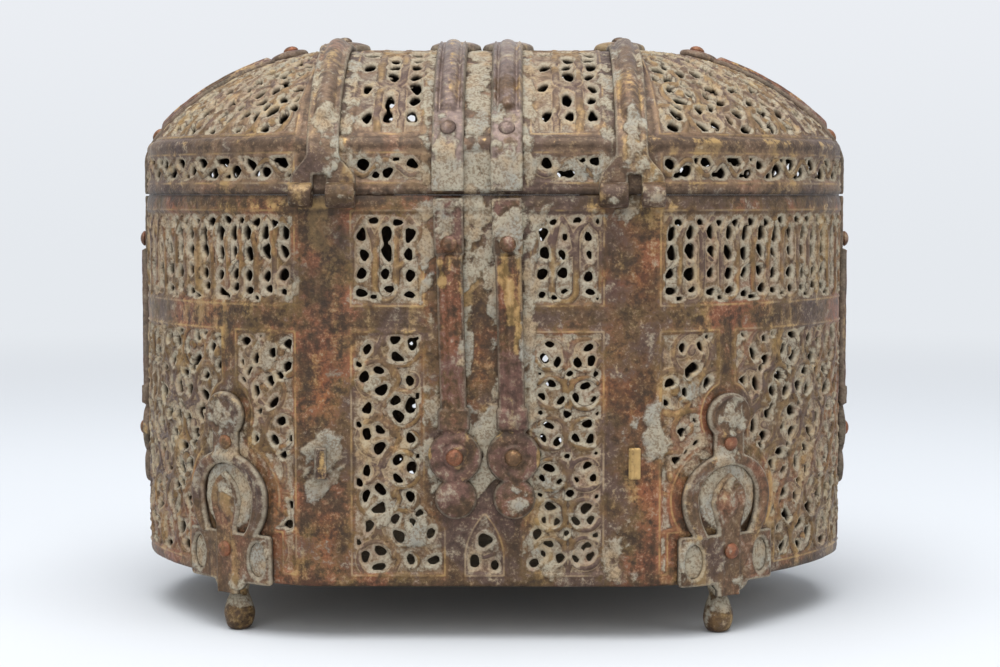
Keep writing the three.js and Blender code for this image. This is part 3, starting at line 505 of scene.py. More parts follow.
def paired_loops(rng, half, tall, odd=0):
    """Two mirrored loops that spring from a middle stem, with a small lozenge between them."""
    strokes, holes = [], []
    r = min(half / 2 - 0.2, tall / 2 - 0.3)
    for s in (-1, 1):
        cx = s * half * 0.52
        stem = [(0, -tall * 0.55), (s * 0.9, -tall * 0.2), (s * 1.3, tall * 0.2), (0, tall * 0.55)]
        strokes.append(curl(arc(cx, 0, r, r, math.pi / 2 - s * 1.9, -s * 5.3, 26), 0.62, 0.6, 0.55, 0.4))
        strokes.append(curl(stem, 0.5))
        holes += eggs(
            rng,
            (cx + s * r * 0.1, r * 0.52, 1.75, 1.1, s * 0.5),
            (cx + s * r * 0.45, -r * 0.28, 1.6, 1.0, 1.57 - s * 0.4),
            (cx - s * r * 0.5, -r * 0.42, 1.5, 0.95, 1.57 + s * 0.5),
            (s * half * 0.9, tall * 0.5, 1.1, 0.8, s * 0.8),
        )
    holes.append(egg(rng, 0, tall * 0.5, 1.15, 1.05, 0.78))
    return strokes, holes


def winding_loop(rng, half, tall, odd):
    """One turn of a winding stem: a loop to one side with its leaves, and the stem on the other."""
    hand = 1 if odd else -1
    r = min(half * 0.56, tall * 0.62)
    cx = hand * half * 0.4
    stem = [(-hand * 1.0, -tall * 0.6), (-hand * half * 0.32, 0), (-hand * 1.0, tall * 0.6)]
    strokes = [
        curl(arc(cx, 0, r, r, math.pi / 2 + hand * 1.4, -hand * 5.6, 28), 0.65, 0.6, 0.5, 0.35),
        curl(stem, 0.6),
        curl(arc(-hand * half * 0.62, 0, half * 0.3, half * 0.2, -1.2, 2.6, 8), 0.45, 0.7, 0.3),
    ]
    return strokes, eggs(
        rng,
        (cx + hand * r * 0.5, r * 0.1, 1.9, 1.2, 1.57),
        (cx - hand * r * 0.28, r * 0.48, 1.7, 1.1, hand * 0.7),
        (cx - hand * r * 0.25, -r * 0.5, 1.75, 1.15, -hand * 0.7),
        (-hand * half * 0.66, 0.0, 1.55, 1.0, 1.2 * hand),
        (hand * half * 0.9, tall * 0.5, 1.15, 0.8, 0.8 * hand),
    )


def strapwork(rng, half, tall, odd):
    """Upright bars that cross in a knot, with rows of holes between them."""
    pitch = half * 0.72
    strokes = []
    for s in (-1, 1):
        side, waist = s * pitch / 2, s * pitch * (0.1 if odd else 0.62)
        knot = [(side, -tall * 0.2), (waist, 0), (side, tall * 0.2)]
        strokes.append(curl([(side, -tall / 2), *knot, (side, tall / 2)], 1.0))
    rows = [(0, tall / 2, 2.2, 1.3, 1.57), (-pitch, 0, 2.0, 1.3, 1.2), (pitch, 0, 2.0, 1.25, 1.9)]
    rows.append((pitch, tall / 2, 1.6, 1.2, 0.9))
    if not odd:
        rows.append((0, 0, 1.8, 1.35, 1.2))
    return strokes, eggs(rng, *rows)


def wave_bay(rng, pitch, tall, odd):
    """One bay of a narrow border: a wave with a hole on either side."""
    s = 1 if odd else -1
    wave = [(x * pitch, s * tall * 0.3 * math.cos(math.pi * x)) for x in np.linspace(-0.5, 0.5, 9)]
    rows = [(0, -s * tall * 0.17, 1.75, 1.3, s * 0.5), (pitch / 2, s * tall * 0.3, 1.0, 0.75, 0.4)]
    return [curl(wave, 0.55)], eggs(rng, *rows)


# %% [markdown]
# ## The pierced wall
# The wall has two belts of openwork, a narrow one below the seam and a tall one down to the foot,
# parted by plain belts and by the plain strips that carry straps and hasps.

# %% Net of the wall
WALL_HEIGHT = SEAM - WALL_FOOT
columns_right = 2 * round(RIGHT_WAY / CELL / 2)
columns_left = 2 * round(LEFT_WAY / CELL / 2)
column_distance = np.r_[
    np.arange(columns_right) * RIGHT_WAY / columns_right,
    RIGHT_WAY + np.arange(columns_left) * LEFT_WAY / columns_left,
]
signed_distance = np.where(column_distance > RIGHT_WAY, column_distance - GIRTH, column_distance)
plan = plan_at(column_distance)
rows = round(WALL_HEIGHT / CELL)
heights = np.linspace(0, WALL_HEIGHT, rows + 1)
wall_places = np.empty((len(plan), rows + 1, 3))
wall_places[..., 0] = MIDDLE + plan[:, None, 0]
wall_places[..., 1] = plan[:, None, 1]
wall_places[..., 2] = WALL_FOOT + heights[None]
wall = Sheet(wall_places, True)
wall_u = np.broadcast_to(signed_distance[:, None], wall.near.shape)
wall_v = np.broadcast_to(heights[None], wall.near.shape)
print("wall net", wall.near.shape)


def column_of(distance):
    """The net's column at a distance round the casket."""
    d = distance % GIRTH
    if d <= RIGHT_WAY:
        return d / RIGHT_WAY * columns_right
    return columns_right + (d - RIGHT_WAY) / LEFT_WAY * columns_left


wall.to_net = lambda distance, height: (column_of(distance), height / WALL_HEIGHT * rows)

# %% Panels of the wall
BOTTOM_RIM, PANEL_TOP, FRIEZE_FOOT, FRIEZE_TOP = 4.0, 78.5, 87.5, 115.7
BAND_INNER, BAND_OUTER = 38.3, 57.0
CENTRE_STRIP, END_STRIP = 17.0, 9.0
STEM_HALF = 3.8
BACK = RIGHT_WAY
BACK_PANEL = (BACK - BAND_INNER, BACK + BAND_INNER)
wall_spans = [
    (CENTRE_STRIP, BAND_INNER),
    (BAND_OUTER, RIGHT_END - END_STRIP),
    (RIGHT_END + END_STRIP, BACK - BAND_OUTER),
    BACK_PANEL,
    (BACK + BAND_OUTER, GIRTH + LEFT_END - END_STRIP),
    (LEFT_END + END_STRIP, -BAND_OUTER),
    (-BAND_INNER, -CENTRE_STRIP),
]
FEET = {
    "front_right": FRONT_FLAT + 0.43 * RIGHT_RUN,
    "back_right": BACK - FRONT_FLAT - 0.43 * RIGHT_RUN,
    "back_left": BACK + FRONT_FLAT + 0.516 * LEFT_RUN,
    "front_left": -FRONT_FLAT - 0.516 * LEFT_RUN,
}


def away_from(u, distance):
    """Distances along the wall from one place on it."""
    return (u - distance + GIRTH / 2) % GIRTH - GIRTH / 2


def between(v, low, high):
    """How far v lies from the nearer of two limits, positive between them."""
    return np.minimum(v - low, high - v)


def open_panel(sheet, *depths):
    """Adds a panel to a sheet: the places where every depth is positive."""
    sheet.inside[:] = np.maximum(sheet.inside, np.minimum.reduce(depths))


for left, right in wall_spans:
    across = (right - left) / 2 - np.abs(away_from(wall_u, (left + right) / 2))
    open_panel(wall, across, between(wall_v, BOTTOM_RIM, PANEL_TOP))
    open_panel(wall, across, between(wall_v, FRIEZE_FOOT, FRIEZE_TOP))

# The panels beside the middle straps spread under the lobes, and a small one stands between them.
SMALL_PANEL_MIDDLE = 2.2
for sign, edge in ((-1, 10.6), (1, 14.8)):
    spread = edge + (CENTRE_STRIP - edge) * soft_step(wall_v, 17, 26)
    open_panel(wall, between(sign * wall_u, spread, BAND_INNER), between(wall_v, BOTTOM_RIM, 40))
half_ogee = 5.4 * np.cos(np.clip((wall_v - 9) / 13, 0, 1) * math.pi / 2) ** 0.8
open_panel(wall, half_ogee - np.abs(wall_u - SMALL_PANEL_MIDDLE), between(wall_v, BOTTOM_RIM, 22))

# A plain field follows each mount, and a plain stem rises from it.
for distance in FEET.values():
    x, y = away_from(wall_u, distance), wall_v
    field = [
        (1 - np.hypot(x / 21.5, (y - 26.5) / 18.5)) * 18,
        10.8 - np.hypot(x, y - 52.4),
        np.minimum(9.5 - np.abs(x), between(y, 36, 56)),
        np.minimum(22.5 - np.abs(x), 17 - y),
        np.minimum(STEM_HALF - np.abs(x), PANEL_TOP + 3 - y),
    ]
    wall.inside[:] = np.minimum(wall.inside, -np.maximum.reduce(field))

# %% Carve the panels of the wall
NARROW_PANEL = 30
rng = np.random.default_rng(11)


def fill_with_vines(sheet, left, right, low, high, radius, width_at=lambda d, h: 1.0):
    """Staggered rows of vine rings over a panel; rows get fewer rings where the panel narrows."""
    row_count = max(1, round((high - low) / (radius * 1.84 * sheet.stretch)))
    pitch_v = (high - low) / row_count
    made = 0
    for r in range(row_count):
        h = low + (r + 0.5) * pitch_v
        wide = (right - left) * width_at((left + right) / 2, h)
        count = max(1, round(wide / (radius * 2.04)))
        pitch = (right - left) / count
        stagger = 0.22 if r % 2 else -0.22
        for c in range(count):
            d = left + (c + 0.5 + (stagger if count > 1 else 0)) * pitch
            hand = 1 if (r + c) % 2 else -1
            strokes, holes = vine_ring(rng, radius * rng.uniform(0.95, 1.04), rng.uniform(0, 6.28), hand)
            stamp(sheet, d, h, strokes, holes, radius + 4)
        made += count
    return made


def fill_with_bays(sheet, motif, left, right, low, high, pitch, anchor=0.0):
    """A row of bays, no two of the same width, from end to end of a panel."""
    count = max(1, round((right - left) / pitch))
    edges = np.r_[0, np.cumsum(rng.uniform(0.78, 1.25, count))]
    edges = left + (right - left) * edges / edges[-1]
    for c in range(count):
        strokes, holes = motif(rng, edges[c + 1] - edges[c], high - low, c % 2)
        d = (edges[c] + edges[c + 1]) / 2
        stamp(sheet, d, low + anchor * (high - low), strokes, holes, (high - low) + 2)
    return count


def fill_upwards(sheet, motif, left, right, low, high, pitch):
    """Bays one above the other in a narrow panel."""
    count = max(1, round((high - low) / pitch / sheet.stretch))
    tall = (high - low) / count
    half = (right - left) / 2
    for r in range(count):
        strokes, holes = motif(rng, half - 0.6, tall / sheet.stretch, r % 2)
        stamp(sheet, (left + right) / 2, low + (r + 0.5) * tall, strokes, holes, half + 4)
    return count


carved = 0
for left, right in wall_spans:
    carved += fill_with_bays(wall, lancet, left, right, FRIEZE_FOOT + 0.6, FRIEZE_TOP - 0.6, 7.4)
    panel = (left, right, BOTTOM_RIM, PANEL_TOP)
    if right - left > NARROW_PANEL:
        carved += fill_with_vines(wall, *panel, 6.9)
    elif left > 0:
        carved += fill_upwards(wall, paired_loops, *panel, 12.2)
    else:
        carved += fill_upwards(wall, winding_loop, *panel, 9.6)
small_panel = eggs(rng, (0, 9.6, 2.1, 1.9, 0.78), (-2.6, 3.2, 1.7, 1.3, 1.2), (2.6, 2.9, 1.5, 1.1, 1.9))
stamp(wall, SMALL_PANEL_MIDDLE, BOTTOM_RIM, [curl([(-3, 6), (0, 4.8), (3, 6)], 0.5)], small_panel, 16)
for sign, middle in ((-1, -14.0), (1, 18.0)):
    corner_holes = eggs(rng, (0, 0, 1.9, 1.3, 0.6), (0.4 * sign, 8.4, 1.6, 1.1, 1.4))
    stamp(wall, middle, BOTTOM_RIM + 4, [], corner_holes, 12)


def towards_back(u):
    """0 over the front half of the casket, rising to 1 behind."""
    return soft_step(-np.abs(away_from(u, BACK)), -RIGHT_END - 10, -RIGHT_END + 30)


# Beside the right middle strap and behind, the holes are smaller and more of them are choked.
wall.gap[(wall_u > 12) & (wall_u < 38)] += 0.2
wall.gap[:] += 0.55 * towards_back(wall_u)
print("motifs on the wall", carved)

# %% [markdown]
# ## Earth that has stayed
# Hard sandy earth still cakes the casket, most of all between and round the middle straps. Each
# patch has a place, a size and a strength, and noise gives it a ragged border.

# %% Caked earth on the wall


def spot(u, v, patch):
    """The strength of one patch at each place."""
    cu, cv, ru, rv, amount = patch
    return amount * np.exp(-(((u - cu) / ru) ** 2) - ((v - cv) / rv) ** 2)


def caked(u, v, patches, places, seed, spread=0.0):
    """How much earth lies at each place: about 0.5 at a patch's border. Negative patches are bare."""
    total = np.full(u.shape, spread)
    for patch in patches:
        strength = spot(u, v, patch)
        total = np.maximum(total, strength) if patch[-1] > 0 else total + strength
    ragged = 0.3 * ripple(places, 13, seed, 3) + 0.16 * ripple(places, 4, seed + 1, 2)
    return np.clip(0.8 * total + ragged * (0.4 + total), 0, 1.3)


# Each patch: distance, height, half width, half height, strength.
WALL_EARTH = [
    (0.5, 90, 7.4, 34, 1.4),
    (2.0, 45, 6.6, 26, 1.3),
    (15.5, 70, 3.6, 60, 1.0),
    (-15.5, 98, 3.0, 20, 0.9),
    (-14.0, 44, 4.0, 20, 0.95),
    (-20, 20, 6, 10, 0.7),
    (47, 50, 5, 9, 0.45),
    (12, 112, 14, 8, 0.9),
    (-12, 116, 8, 5, 0.7),
    (20, 36, 7, 9, 0.8),
    (22, 8, 6, 6, 0.8),
    (42, 117, 9, 6, 0.8),
    (44, 10, 7, 10, 0.9),
    (55, 48, 5, 10, 0.9),
    (49.5, 60, 4, 8, 0.6),
    (-49, 38.5, 7, 9, 1.5),
    (-49, 30, 4, 5, 0.8),
    (-33, 64, 5, 5, 0.7),
    (-68, 72, 5, 5, 0.9),
    (-58, 92, 4, 6, 0.8),
    (-30, 22, 7, 8, 0.7),
    (90, 30, 12, 12, 0.6),
    (66, 60, 6, 8, 0.6),
    (0.9, 81, 2.9, 19, -1.5),
    (1.6, 60, 2.6, 7, -1.2),
    (2.2, 22, 5, 6, -0.9),
]
wall.crust[:] = caked(wall_u, wall_v, WALL_EARTH, wall.places, 71, 0.08)

# Earth fills the windows of the mounts almost to the face, and lies thick round the mounts.
MOUNT_WINDOWS = [(0, 26, 12.5, 12), (-13.4, 7, 4.4, 6.4), (13.4, 7, 4.4, 6.4)]
for distance in FEET.values():
    x, y = away_from(wall_u, distance), wall_v
    for cx, cy, rx, ry in MOUNT_WINDOWS:
        filled = 1 - soft_step(np.hypot((x - cx) / rx, (y - cy) / ry), 0.8, 1.05)
        wall.rise[:] = np.maximum(wall.rise, 0.95 * filled)
        wall.crust[:] = np.maximum(wall.crust, 0.62 * filled)
    halo = bell(np.hypot(x / 22, (y - 34) / 26), 0.9, 4)
    wall.crust[:] = np.maximum(wall.crust, halo * (0.5 + 0.22 * ripple(wall.places, 9, 77, 3)))

# %% Warm and darker places of the wall
LOBE_HEIGHT, LOBES_U = 27.8, (-6.6, 11.4)
WARM = [
    (46, 60, 9, 15, 1.0),
    (45, 96, 9, 14, 1.0),
    (48, 30, 8, 10, 0.6),
    (-47, 62, 8, 10, 0.9),
    (-47, 14, 8, 8, 0.8),
    (-63, 34, 5, 16, 0.7),
    (64, 36, 6, 18, 0.35),
    (-16, 70, 2.5, 20, 0.8),
    (0.9, 70, 3, 14, 0.7),
]
# Patches where the wall is painted darker: on the left plain band, low across the front, along the plain belt
# and in the right lower panel. Each patch: distance, height, half width, half height, strength.
DARKER_PATCHES = [
    (-47.6, 102, 9, 22, 0.9),
    (-47.6, 68, 7, 14, 0.4),
    (-47.6, 36, 9, 8, 0.6),
    (-43, 80, 4, 16, 0.5),
    (0, 12, 60, 5, 0.25),
    (-25, 84, 40, 3, 0.3),
    (26, 26, 5, 9, 0.3),
]


def patched(patches, seed):
    """Soft patches on the wall with uneven borders, between 0 and 1."""
    total = np.maximum.reduce([spot(wall_u, wall_v, patch) for patch in patches])
    return np.clip(total * (1 + 0.45 * ripple(wall.places, 11, seed, 3)), 0, 1)


wall.warm[:] = patched(WARM, 83)
wall.shade[:] = patched(DARKER_PATCHES, 85)
for u in LOBES_U:
    reach = np.hypot(wall_u - u, wall_v - LOBE_HEIGHT)
    crescent = bell(reach - 8.2, 1.9) * soft_step(LOBE_HEIGHT - wall_v, -1, 4)
    wall.warm[:] = np.maximum(wall.warm, crescent)

# %% Metal and relief of the wall
PLAIN_LIP = 0.9


def carve(sheet, seed):
    """How much metal there is at each place, and the height of the carving over the face."""
    wander = 0.16 * ripple(sheet.places, 5, seed) + 0.1 * ripple(sheet.places, 2.4, seed + 1)
    metal = np.maximum(sheet.gap + wander, PLAIN_LIP - sheet.inside)
    clog = np.clip((sheet.crust - 0.72) * 6, 0, 3)
    metal = np.clip(metal + clog, -3, 4)
    ground = np.clip(sheet.inside / 0.8, 0, 1)
    stem = np.clip(-sheet.near / 0.6, 0, 1)
    ridge = dome(1 - stem, 1) * (sheet.inside > 0.4)
    groove = bell(sheet.near - 0.22, 0.2) * (sheet.inside > 0.6)
    bead = bell(sheet.inside + 0.55, 0.42)
    trench = bell(sheet.inside + 1.5, 0.35)
    rise = -0.5 * ground + 0.66 * ridge - 0.13 * groove + 0.36 * bead - 0.18 * trench
    edge = np.clip(1 - metal / 0.9, 0, 1)
    rise = rise + 0.26 * (bell(metal - 0.75, 0.4) * ground) - 0.45 * edge**2
    rise = rise + 0.13 * ripple(sheet.places, 18, seed + 2) + 0.06 * ripple(sheet.places, 5, seed + 3)
    cake = soft_step(sheet.crust, 0.42, 0.75)
    lumps = 0.35 + 0.2 * ripple(sheet.places, 6, seed + 4, 3)
    return metal, rise + cake * lumps - cake * 0.4 * ridge + sheet.rise, ground


def fields_of(sheet, metal, ground):
    """The distances and amounts that the patina needs, by name."""
    return {
        "metal": metal,
        "near": sheet.near.clip(-2, 4),
        "border": sheet.inside.clip(-3, 3),
        "ground": ground,
        "crust": sheet.crust,
        "shade": sheet.shade,
        "warm": sheet.warm,
        "crest": sheet.crest,
    }


WALL_THICK = 2.4
wall_metal, wall_rise, wall_ground = carve(wall, 21)

# The rim under the seam is rounded off. Shade is painted into the groove under the seam, and the wall is
# painted darker along its foot.
below_seam = WALL_HEIGHT - wall_v
wall_rise -= 0.55 * bell(below_seam, 0.9) + 0.3 * bell(wall_v, 0.9)
wall_rise += 0.3 * bell(below_seam - 3.4, 0.9)
wall.shade[:] += bell(below_seam, 1.5) + 0.5 * bell(below_seam - 5.2, 0.6)
wall.shade[:] += 0.5 * bell(wall_v, 1.0)
# Gold rubbed onto a line below the seam and onto the beads round the panels, which also serves as painted
# highlights.
wall.crest[:] = 0.8 * bell(below_seam - 3.4, 0.6) + 0.6 * bell(wall.inside + 0.55, 0.3)
wall_fields = fields_of(wall, wall_metal, wall_ground)
wall_piece = cast(wall, "pierced_wall", WALL_THICK, wall_metal, wall_rise, wall_fields)
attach(wall_piece, "body")
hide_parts("body_wall")
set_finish(wall_piece, "pierced_wall")

# %% [markdown]
# ## The domed lid
# The lid repeats the wall's plan on an upright skirt, leans in over a dome and ends in a flat
# crown. Its net follows the same columns as the wall. The rows climb the skirt and the dome, and
# then close in on a short line along the middle of the crown, where front and back are joined.

# %% Net of the lid
LID_FOOT, SKIRT_TOP = SEAM + 0.03, 150.2
DOME_RISE, DOME_RUN = 35.5, 58.0
CROWN = SKIRT_TOP + DOME_RISE
CROWN_FLAT = HALF_DEPTH - DOME_RUN
SPINE = 44.0

# Up the lid's side from its foot to the crown's edge: the way climbed, the inset and the height.
angle = np.linspace(0, math.pi / 2, 800)
climb_inset = np.r_[0, DOME_RUN * (1 - np.maximum(np.cos(angle), 0) ** CORNER_POWER)]
climb_height = np.r_[LID_FOOT, SKIRT_TOP + DOME_RISE * np.sin(angle) ** CORNER_POWER]
climb = np.r_[0, np.cumsum(np.hypot(np.diff(climb_inset), np.diff(climb_height)))]
CLIMB = climb[-1]
side_rows, crown_rows = round(CLIMB / CELL), round(CROWN_FLAT / CELL)
row_climb = np.linspace(0, CLIMB, side_rows + 1)
row_inset = np.interp(row_climb, climb, climb_inset)
lid_places = np.empty((len(plan), side_rows + 1 + crown_rows, 3))
side, top = lid_places[:, : side_rows + 1], lid_places[:, side_rows + 1 :]
side[..., 0] = MIDDLE + plan[:, None, 0] - row_inset * plan[:, None, 2]
side[..., 1] = plan[:, None, 1] - row_inset * plan[:, None, 3]
side[..., 2] = np.interp(row_climb, climb, climb_height)
closing = np.arange(1, crown_rows + 1) / crown_rows
edge_x, edge_y = side[:, -1:, 0] - MIDDLE, side[:, -1:, 1]
top[..., 0] = MIDDLE + edge_x + (np.clip(edge_x, -SPINE, SPINE) - edge_x) * closing
top[..., 1] = edge_y * (1 - closing)
top[..., 2] = CROWN
lid = Sheet(lid_places, True)
lid.out[:, side_rows + 2 :] = (0, 0, 1)
row_along = np.r_[row_climb, CLIMB + closing * CROWN_FLAT]
lid_u = np.broadcast_to(signed_distance[:, None], lid.near.shape)
lid_v = np.broadcast_to(row_along[None], lid.near.shape)
row_numbers = np.arange(len(row_along))
lid.to_net = lambda distance, along: (column_of(distance), np.interp(along, row_along, row_numbers))
print("lid net", lid.near.shape, "climb", round(CLIMB, 1), "mm")


def lid_width(distance, along):
    """The width of the lid's net at a height, as a part of its width at the foot."""
    i, j = lid.to_net(distance, along)
    i, j = int(round(i)) % len(plan), int(round(j))
    return lid.cell_along[i, j] / wall.cell_along[i, 0]


# %% Panels of the lid
SKIRT_FRIEZE = (4.2, 12.4)
DOME_FOOT = 20.0
CROWN_EDGE = CLIMB - 1
TOP_OF_LID = row_along[-1]
CROWN_PANELS = [(-BAND_INNER, -CENTRE_STRIP), (CENTRE_STRIP, BAND_INNER)]
END_PANELS = [(BAND_OUTER, 90), (-90, -BAND_OUTER)]
lid_spans = [span for span in wall_spans if span != BACK_PANEL]
lid_spans += [(BACK - BAND_INNER, BACK - CENTRE_STRIP), (BACK + CENTRE_STRIP, BACK + BAND_INNER)]
lid_scale = lid.cell_along / wall.cell_along[:, :1]
for left, right in lid_spans:
    across = ((right - left) / 2 - np.abs(away_from(lid_u, (left + right) / 2))) * lid_scale
    open_panel(lid, across, between(lid_v, *SKIRT_FRIEZE))
    open_panel(lid, across, between(lid_v, DOME_FOOT, CROWN_EDGE))

# The crown has panels of its own, in plan: two between the straps and one at each end.
plan_x, plan_y = lid.places[..., 0] - MIDDLE, lid.places[..., 1]
crown_depth = np.minimum(TOP_OF_LID - lid_v - 0.6, lid_v - CROWN_EDGE - 3.6)
end_depth = np.where(np.abs(plan_x) > BAND_OUTER, np.abs(plan_y) - END_STRIP, 9)
for x0, x1 in CROWN_PANELS + END_PANELS:
    open_panel(lid, between(plan_x, x0, x1), crown_depth, end_depth)

# %% Carve the panels of the lid
UP_THE_SLOPE = 1.35
lid_motifs = 0
for left, right in lid_spans:
    lid.stretch = 1.0
    lid_motifs += fill_with_bays(lid, wave_bay, left, right, *SKIRT_FRIEZE, 6.6, 0.5)
    panel = (left, right, DOME_FOOT, CROWN_EDGE)
    if right - left > NARROW_PANEL:
        lid.stretch = 1.1
        lid_motifs += fill_with_vines(lid, *panel, 6.1, lid_width)
    else:
        lid.stretch = UP_THE_SLOPE
        lid_motifs += fill_upwards(lid, strapwork, *panel, 12.6)
for x0, x1 in CROWN_PANELS:
    for distance in ((x0 + x1) / 2, BACK - (x0 + x1) / 2):
        for row in (0, 1):
            strokes, holes = paired_loops(rng, (x1 - x0) / 2 - 0.6, 12.0)
            stamp(lid, distance, CROWN_EDGE + 9.6 + row * 12, strokes, holes, 14)
            lid_motifs += 1
lid.gap[:] += 0.35 * towards_back(lid_u)
print("motifs on the lid", lid_motifs)

# Each patch: distance, way up the lid, half width, half height, strength.
LID_EARTH = [
    (0, 50, 4.5, 60, 1.1),
    (0, 8, 16, 10, 0.9),
    (15, 40, 3.5, 60, 0.9),
    (-15.5, 40, 3.0, 60, 0.75),
    (40, 40, 4, 50, 0.75),
    (-40, 45, 4, 50, 0.75),
    (36, 8, 14, 5, 0.8),
    (-34, 10, 12, 6, 0.6),
    (BACK, 60, 5, 60, 0.9),
    (110, 60, 18, 22, 0.5),
    (-95, 66, 14, 18, 0.45),
]
lid.crust[:] = caked(lid_u, lid_v, LID_EARTH, lid.places, 91, 0.14)

# %% Metal and relief of the lid
LID_THICK = 2.2
MOULDING = 16.2
lid_metal, lid_rise, lid_ground = carve(lid, 41)
lid_rise = lid_rise + 1.25 * dome(lid_v - MOULDING, 2.3)
lid_rise = lid_rise + 0.35 * bell(lid_v - 1.6, 0.8) - 0.55 * bell(lid_v, 0.7)
# Shade is painted at the lid's foot by the seam and on either side of the moulding.
lid.shade[:] = bell(lid_v, 1.1) + 0.6 * bell(np.abs(lid_v - MOULDING) - 2.9, 0.5)
# Gold rubbed onto the top of the moulding and the beads round the panels, which also serves as painted
# highlights.
lid.crest[:] = bell(lid_v - 16.6, 0.6) + 0.7 * bell(lid.inside + 0.55, 0.35)

# Along the middle of the crown, each column of the front shares its last point with one behind.
partner = np.r_[
    (columns_right - np.arange(columns_right)) % len(plan),
    columns_right + (columns_left - np.arange(columns_left)) % columns_left,
]
partner[columns_right] = 0
lid_metal[:, -3:] = 4.0
lid_rise[:, -1] = 0
weld = np.arange(lid_metal.size).reshape(lid_metal.shape)
weld[:, -1] = np.minimum(weld[:, -1], weld[partner, -1])
lid_fields = fields_of(lid, lid_metal, lid_ground)
lid_piece = cast(lid, "pierced_lid", LID_THICK, lid_metal, lid_rise, lid_fields, weld.ravel())
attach(lid_piece, "lid")
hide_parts("lid_shell")
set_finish(lid_piece, "pierced_lid")

# %% [markdown]
# ## Straps, mounts and other flat castings
# The straps and mounts are flat castings that lie on the curved sheets. Each is a small net of its
# own, laid on the wall or lid: an outline says where there is metal, and a height says how far the
# ribs, discs and bosses stand out. The same casting step as before then closes it.

# %% Flat castings
SEAT, BED = 0.3, 1.0
STRAP_CELL = 0.45


def casting(name, place_at, xs, ys, shape, thickness, earth=(), spread=0.12, gilt=(), dark=()):
    """A casting over a rectangle of x and y in mm. place_at gives the seat under each point, and shape
    the three functions of x and y for its metal, its height and its crests, which are rubbed to gold
    and painted as highlights."""
    metal_at, rise_at, crest_at = shape
    gx, gy = np.meshgrid(xs, ys, indexing="ij")
    net = Sheet(place_at(gx, gy), False)
    net.places = net.places + net.out * thickness
    metal = np.clip(metal_at(gx, gy), -3, 6)
    still = np.zeros_like(metal)
    soiling = [
        caked(gx, gy, patches, net.places, seed + len(name)) if patches else still
        for patches, seed in ((gilt, 300), (dark, 400))
    ]
    crust = caked(gx, gy, earth, net.places, 200 + len(name), spread)
    rise = rise_at(gx, gy)
    edge = np.clip(1 - metal / 0.7, 0, 1)
    rise = rise - np.minimum(0.35, 0.45 * (rise + thickness)) * edge**2
    rise = rise + 0.07 * ripple(net.places, 9, len(name)) + 0.04 * ripple(net.places, 3, len(name) + 1)
    rise = rise + 0.3 * soft_step(crust, 0.42, 0.75)
    fields = {"metal": metal, "near": still + 4, "border": still - 3, "crust": crust}
    fields["crest"], fields["gilt"], fields["shade"] = crest_at(gx, gy), *soiling
    return cast(net, name, thickness, metal, rise, fields)


def box_metal(x, y, x0, x1, y0, y1, corner=0.6):
    """Signed distance inside a rectangle with rounded corners."""
    dx = np.maximum(x0 + corner - x, x - x1 + corner)
    dy = np.maximum(y0 + corner - y, y - y1 + corner)
    outside = np.hypot(np.maximum(dx, 0), np.maximum(dy, 0))
    return corner - outside - np.minimum(np.maximum(dx, dy), 0)


def round_metal(x, y, cx, cy, rx, ry):
    """Signed distance inside an ellipse, near enough for metalwork."""
    return (1 - np.hypot((x - cx) / rx, (y - cy) / ry)) * min(rx, ry)


def button(r, radius, low, swell):
    """The height of a round boss at distances from its middle."""
    return np.where(r < radius, low + swell * dome(r, radius), 0)


# %% [markdown]
# ## The straps of the front, ends and back
# Each strap hangs from the seam: a flat plate with a rivet, a bar with three ridges, a square
# collar, a riveted disc and a smaller lobe. The lower ends of the pair on the front lean a little
# to the right.

# %% Straps on the wall
PLATE_END, COLLAR, DISC_MIDDLE, LOBE_MIDDLE = 18.5, (65.3, 72.3), 80.5, 93.2
DISC_RADIUS, LOBE_RADIUS = 8.3, 6.5
TAB_HALF, TAB_TOP, SLOT_SHIFT = 1.8, 1.4, 0.9


def strap_metal(top, tab):
    """The outline of a strap whose plate starts at top, with a tab up to a hinge's barrel or none."""

    def metal(x, y):
        d = -y
        parts = [
            box_metal(x, d, -4.6, 4.6, top, PLATE_END),
            box_metal(x, d, -4.05, 4.05, PLATE_END - 1, DISC_MIDDLE),
            box_metal(x, d, -4.9, 4.9, *COLLAR),
            round_metal(x, d, 0, DISC_MIDDLE, DISC_RADIUS, DISC_RADIUS),
            box_metal(x, d, -2.9, 2.9, DISC_MIDDLE, LOBE_MIDDLE),
            round_metal(x, d, 0, LOBE_MIDDLE, LOBE_RADIUS, LOBE_RADIUS),
        ]
        if tab is not None:
            parts.append(box_metal(x, d, tab - TAB_HALF, tab + TAB_HALF, TAB_TOP, top + 2, 0.2))
        return np.maximum.reduce(parts)

    return metal


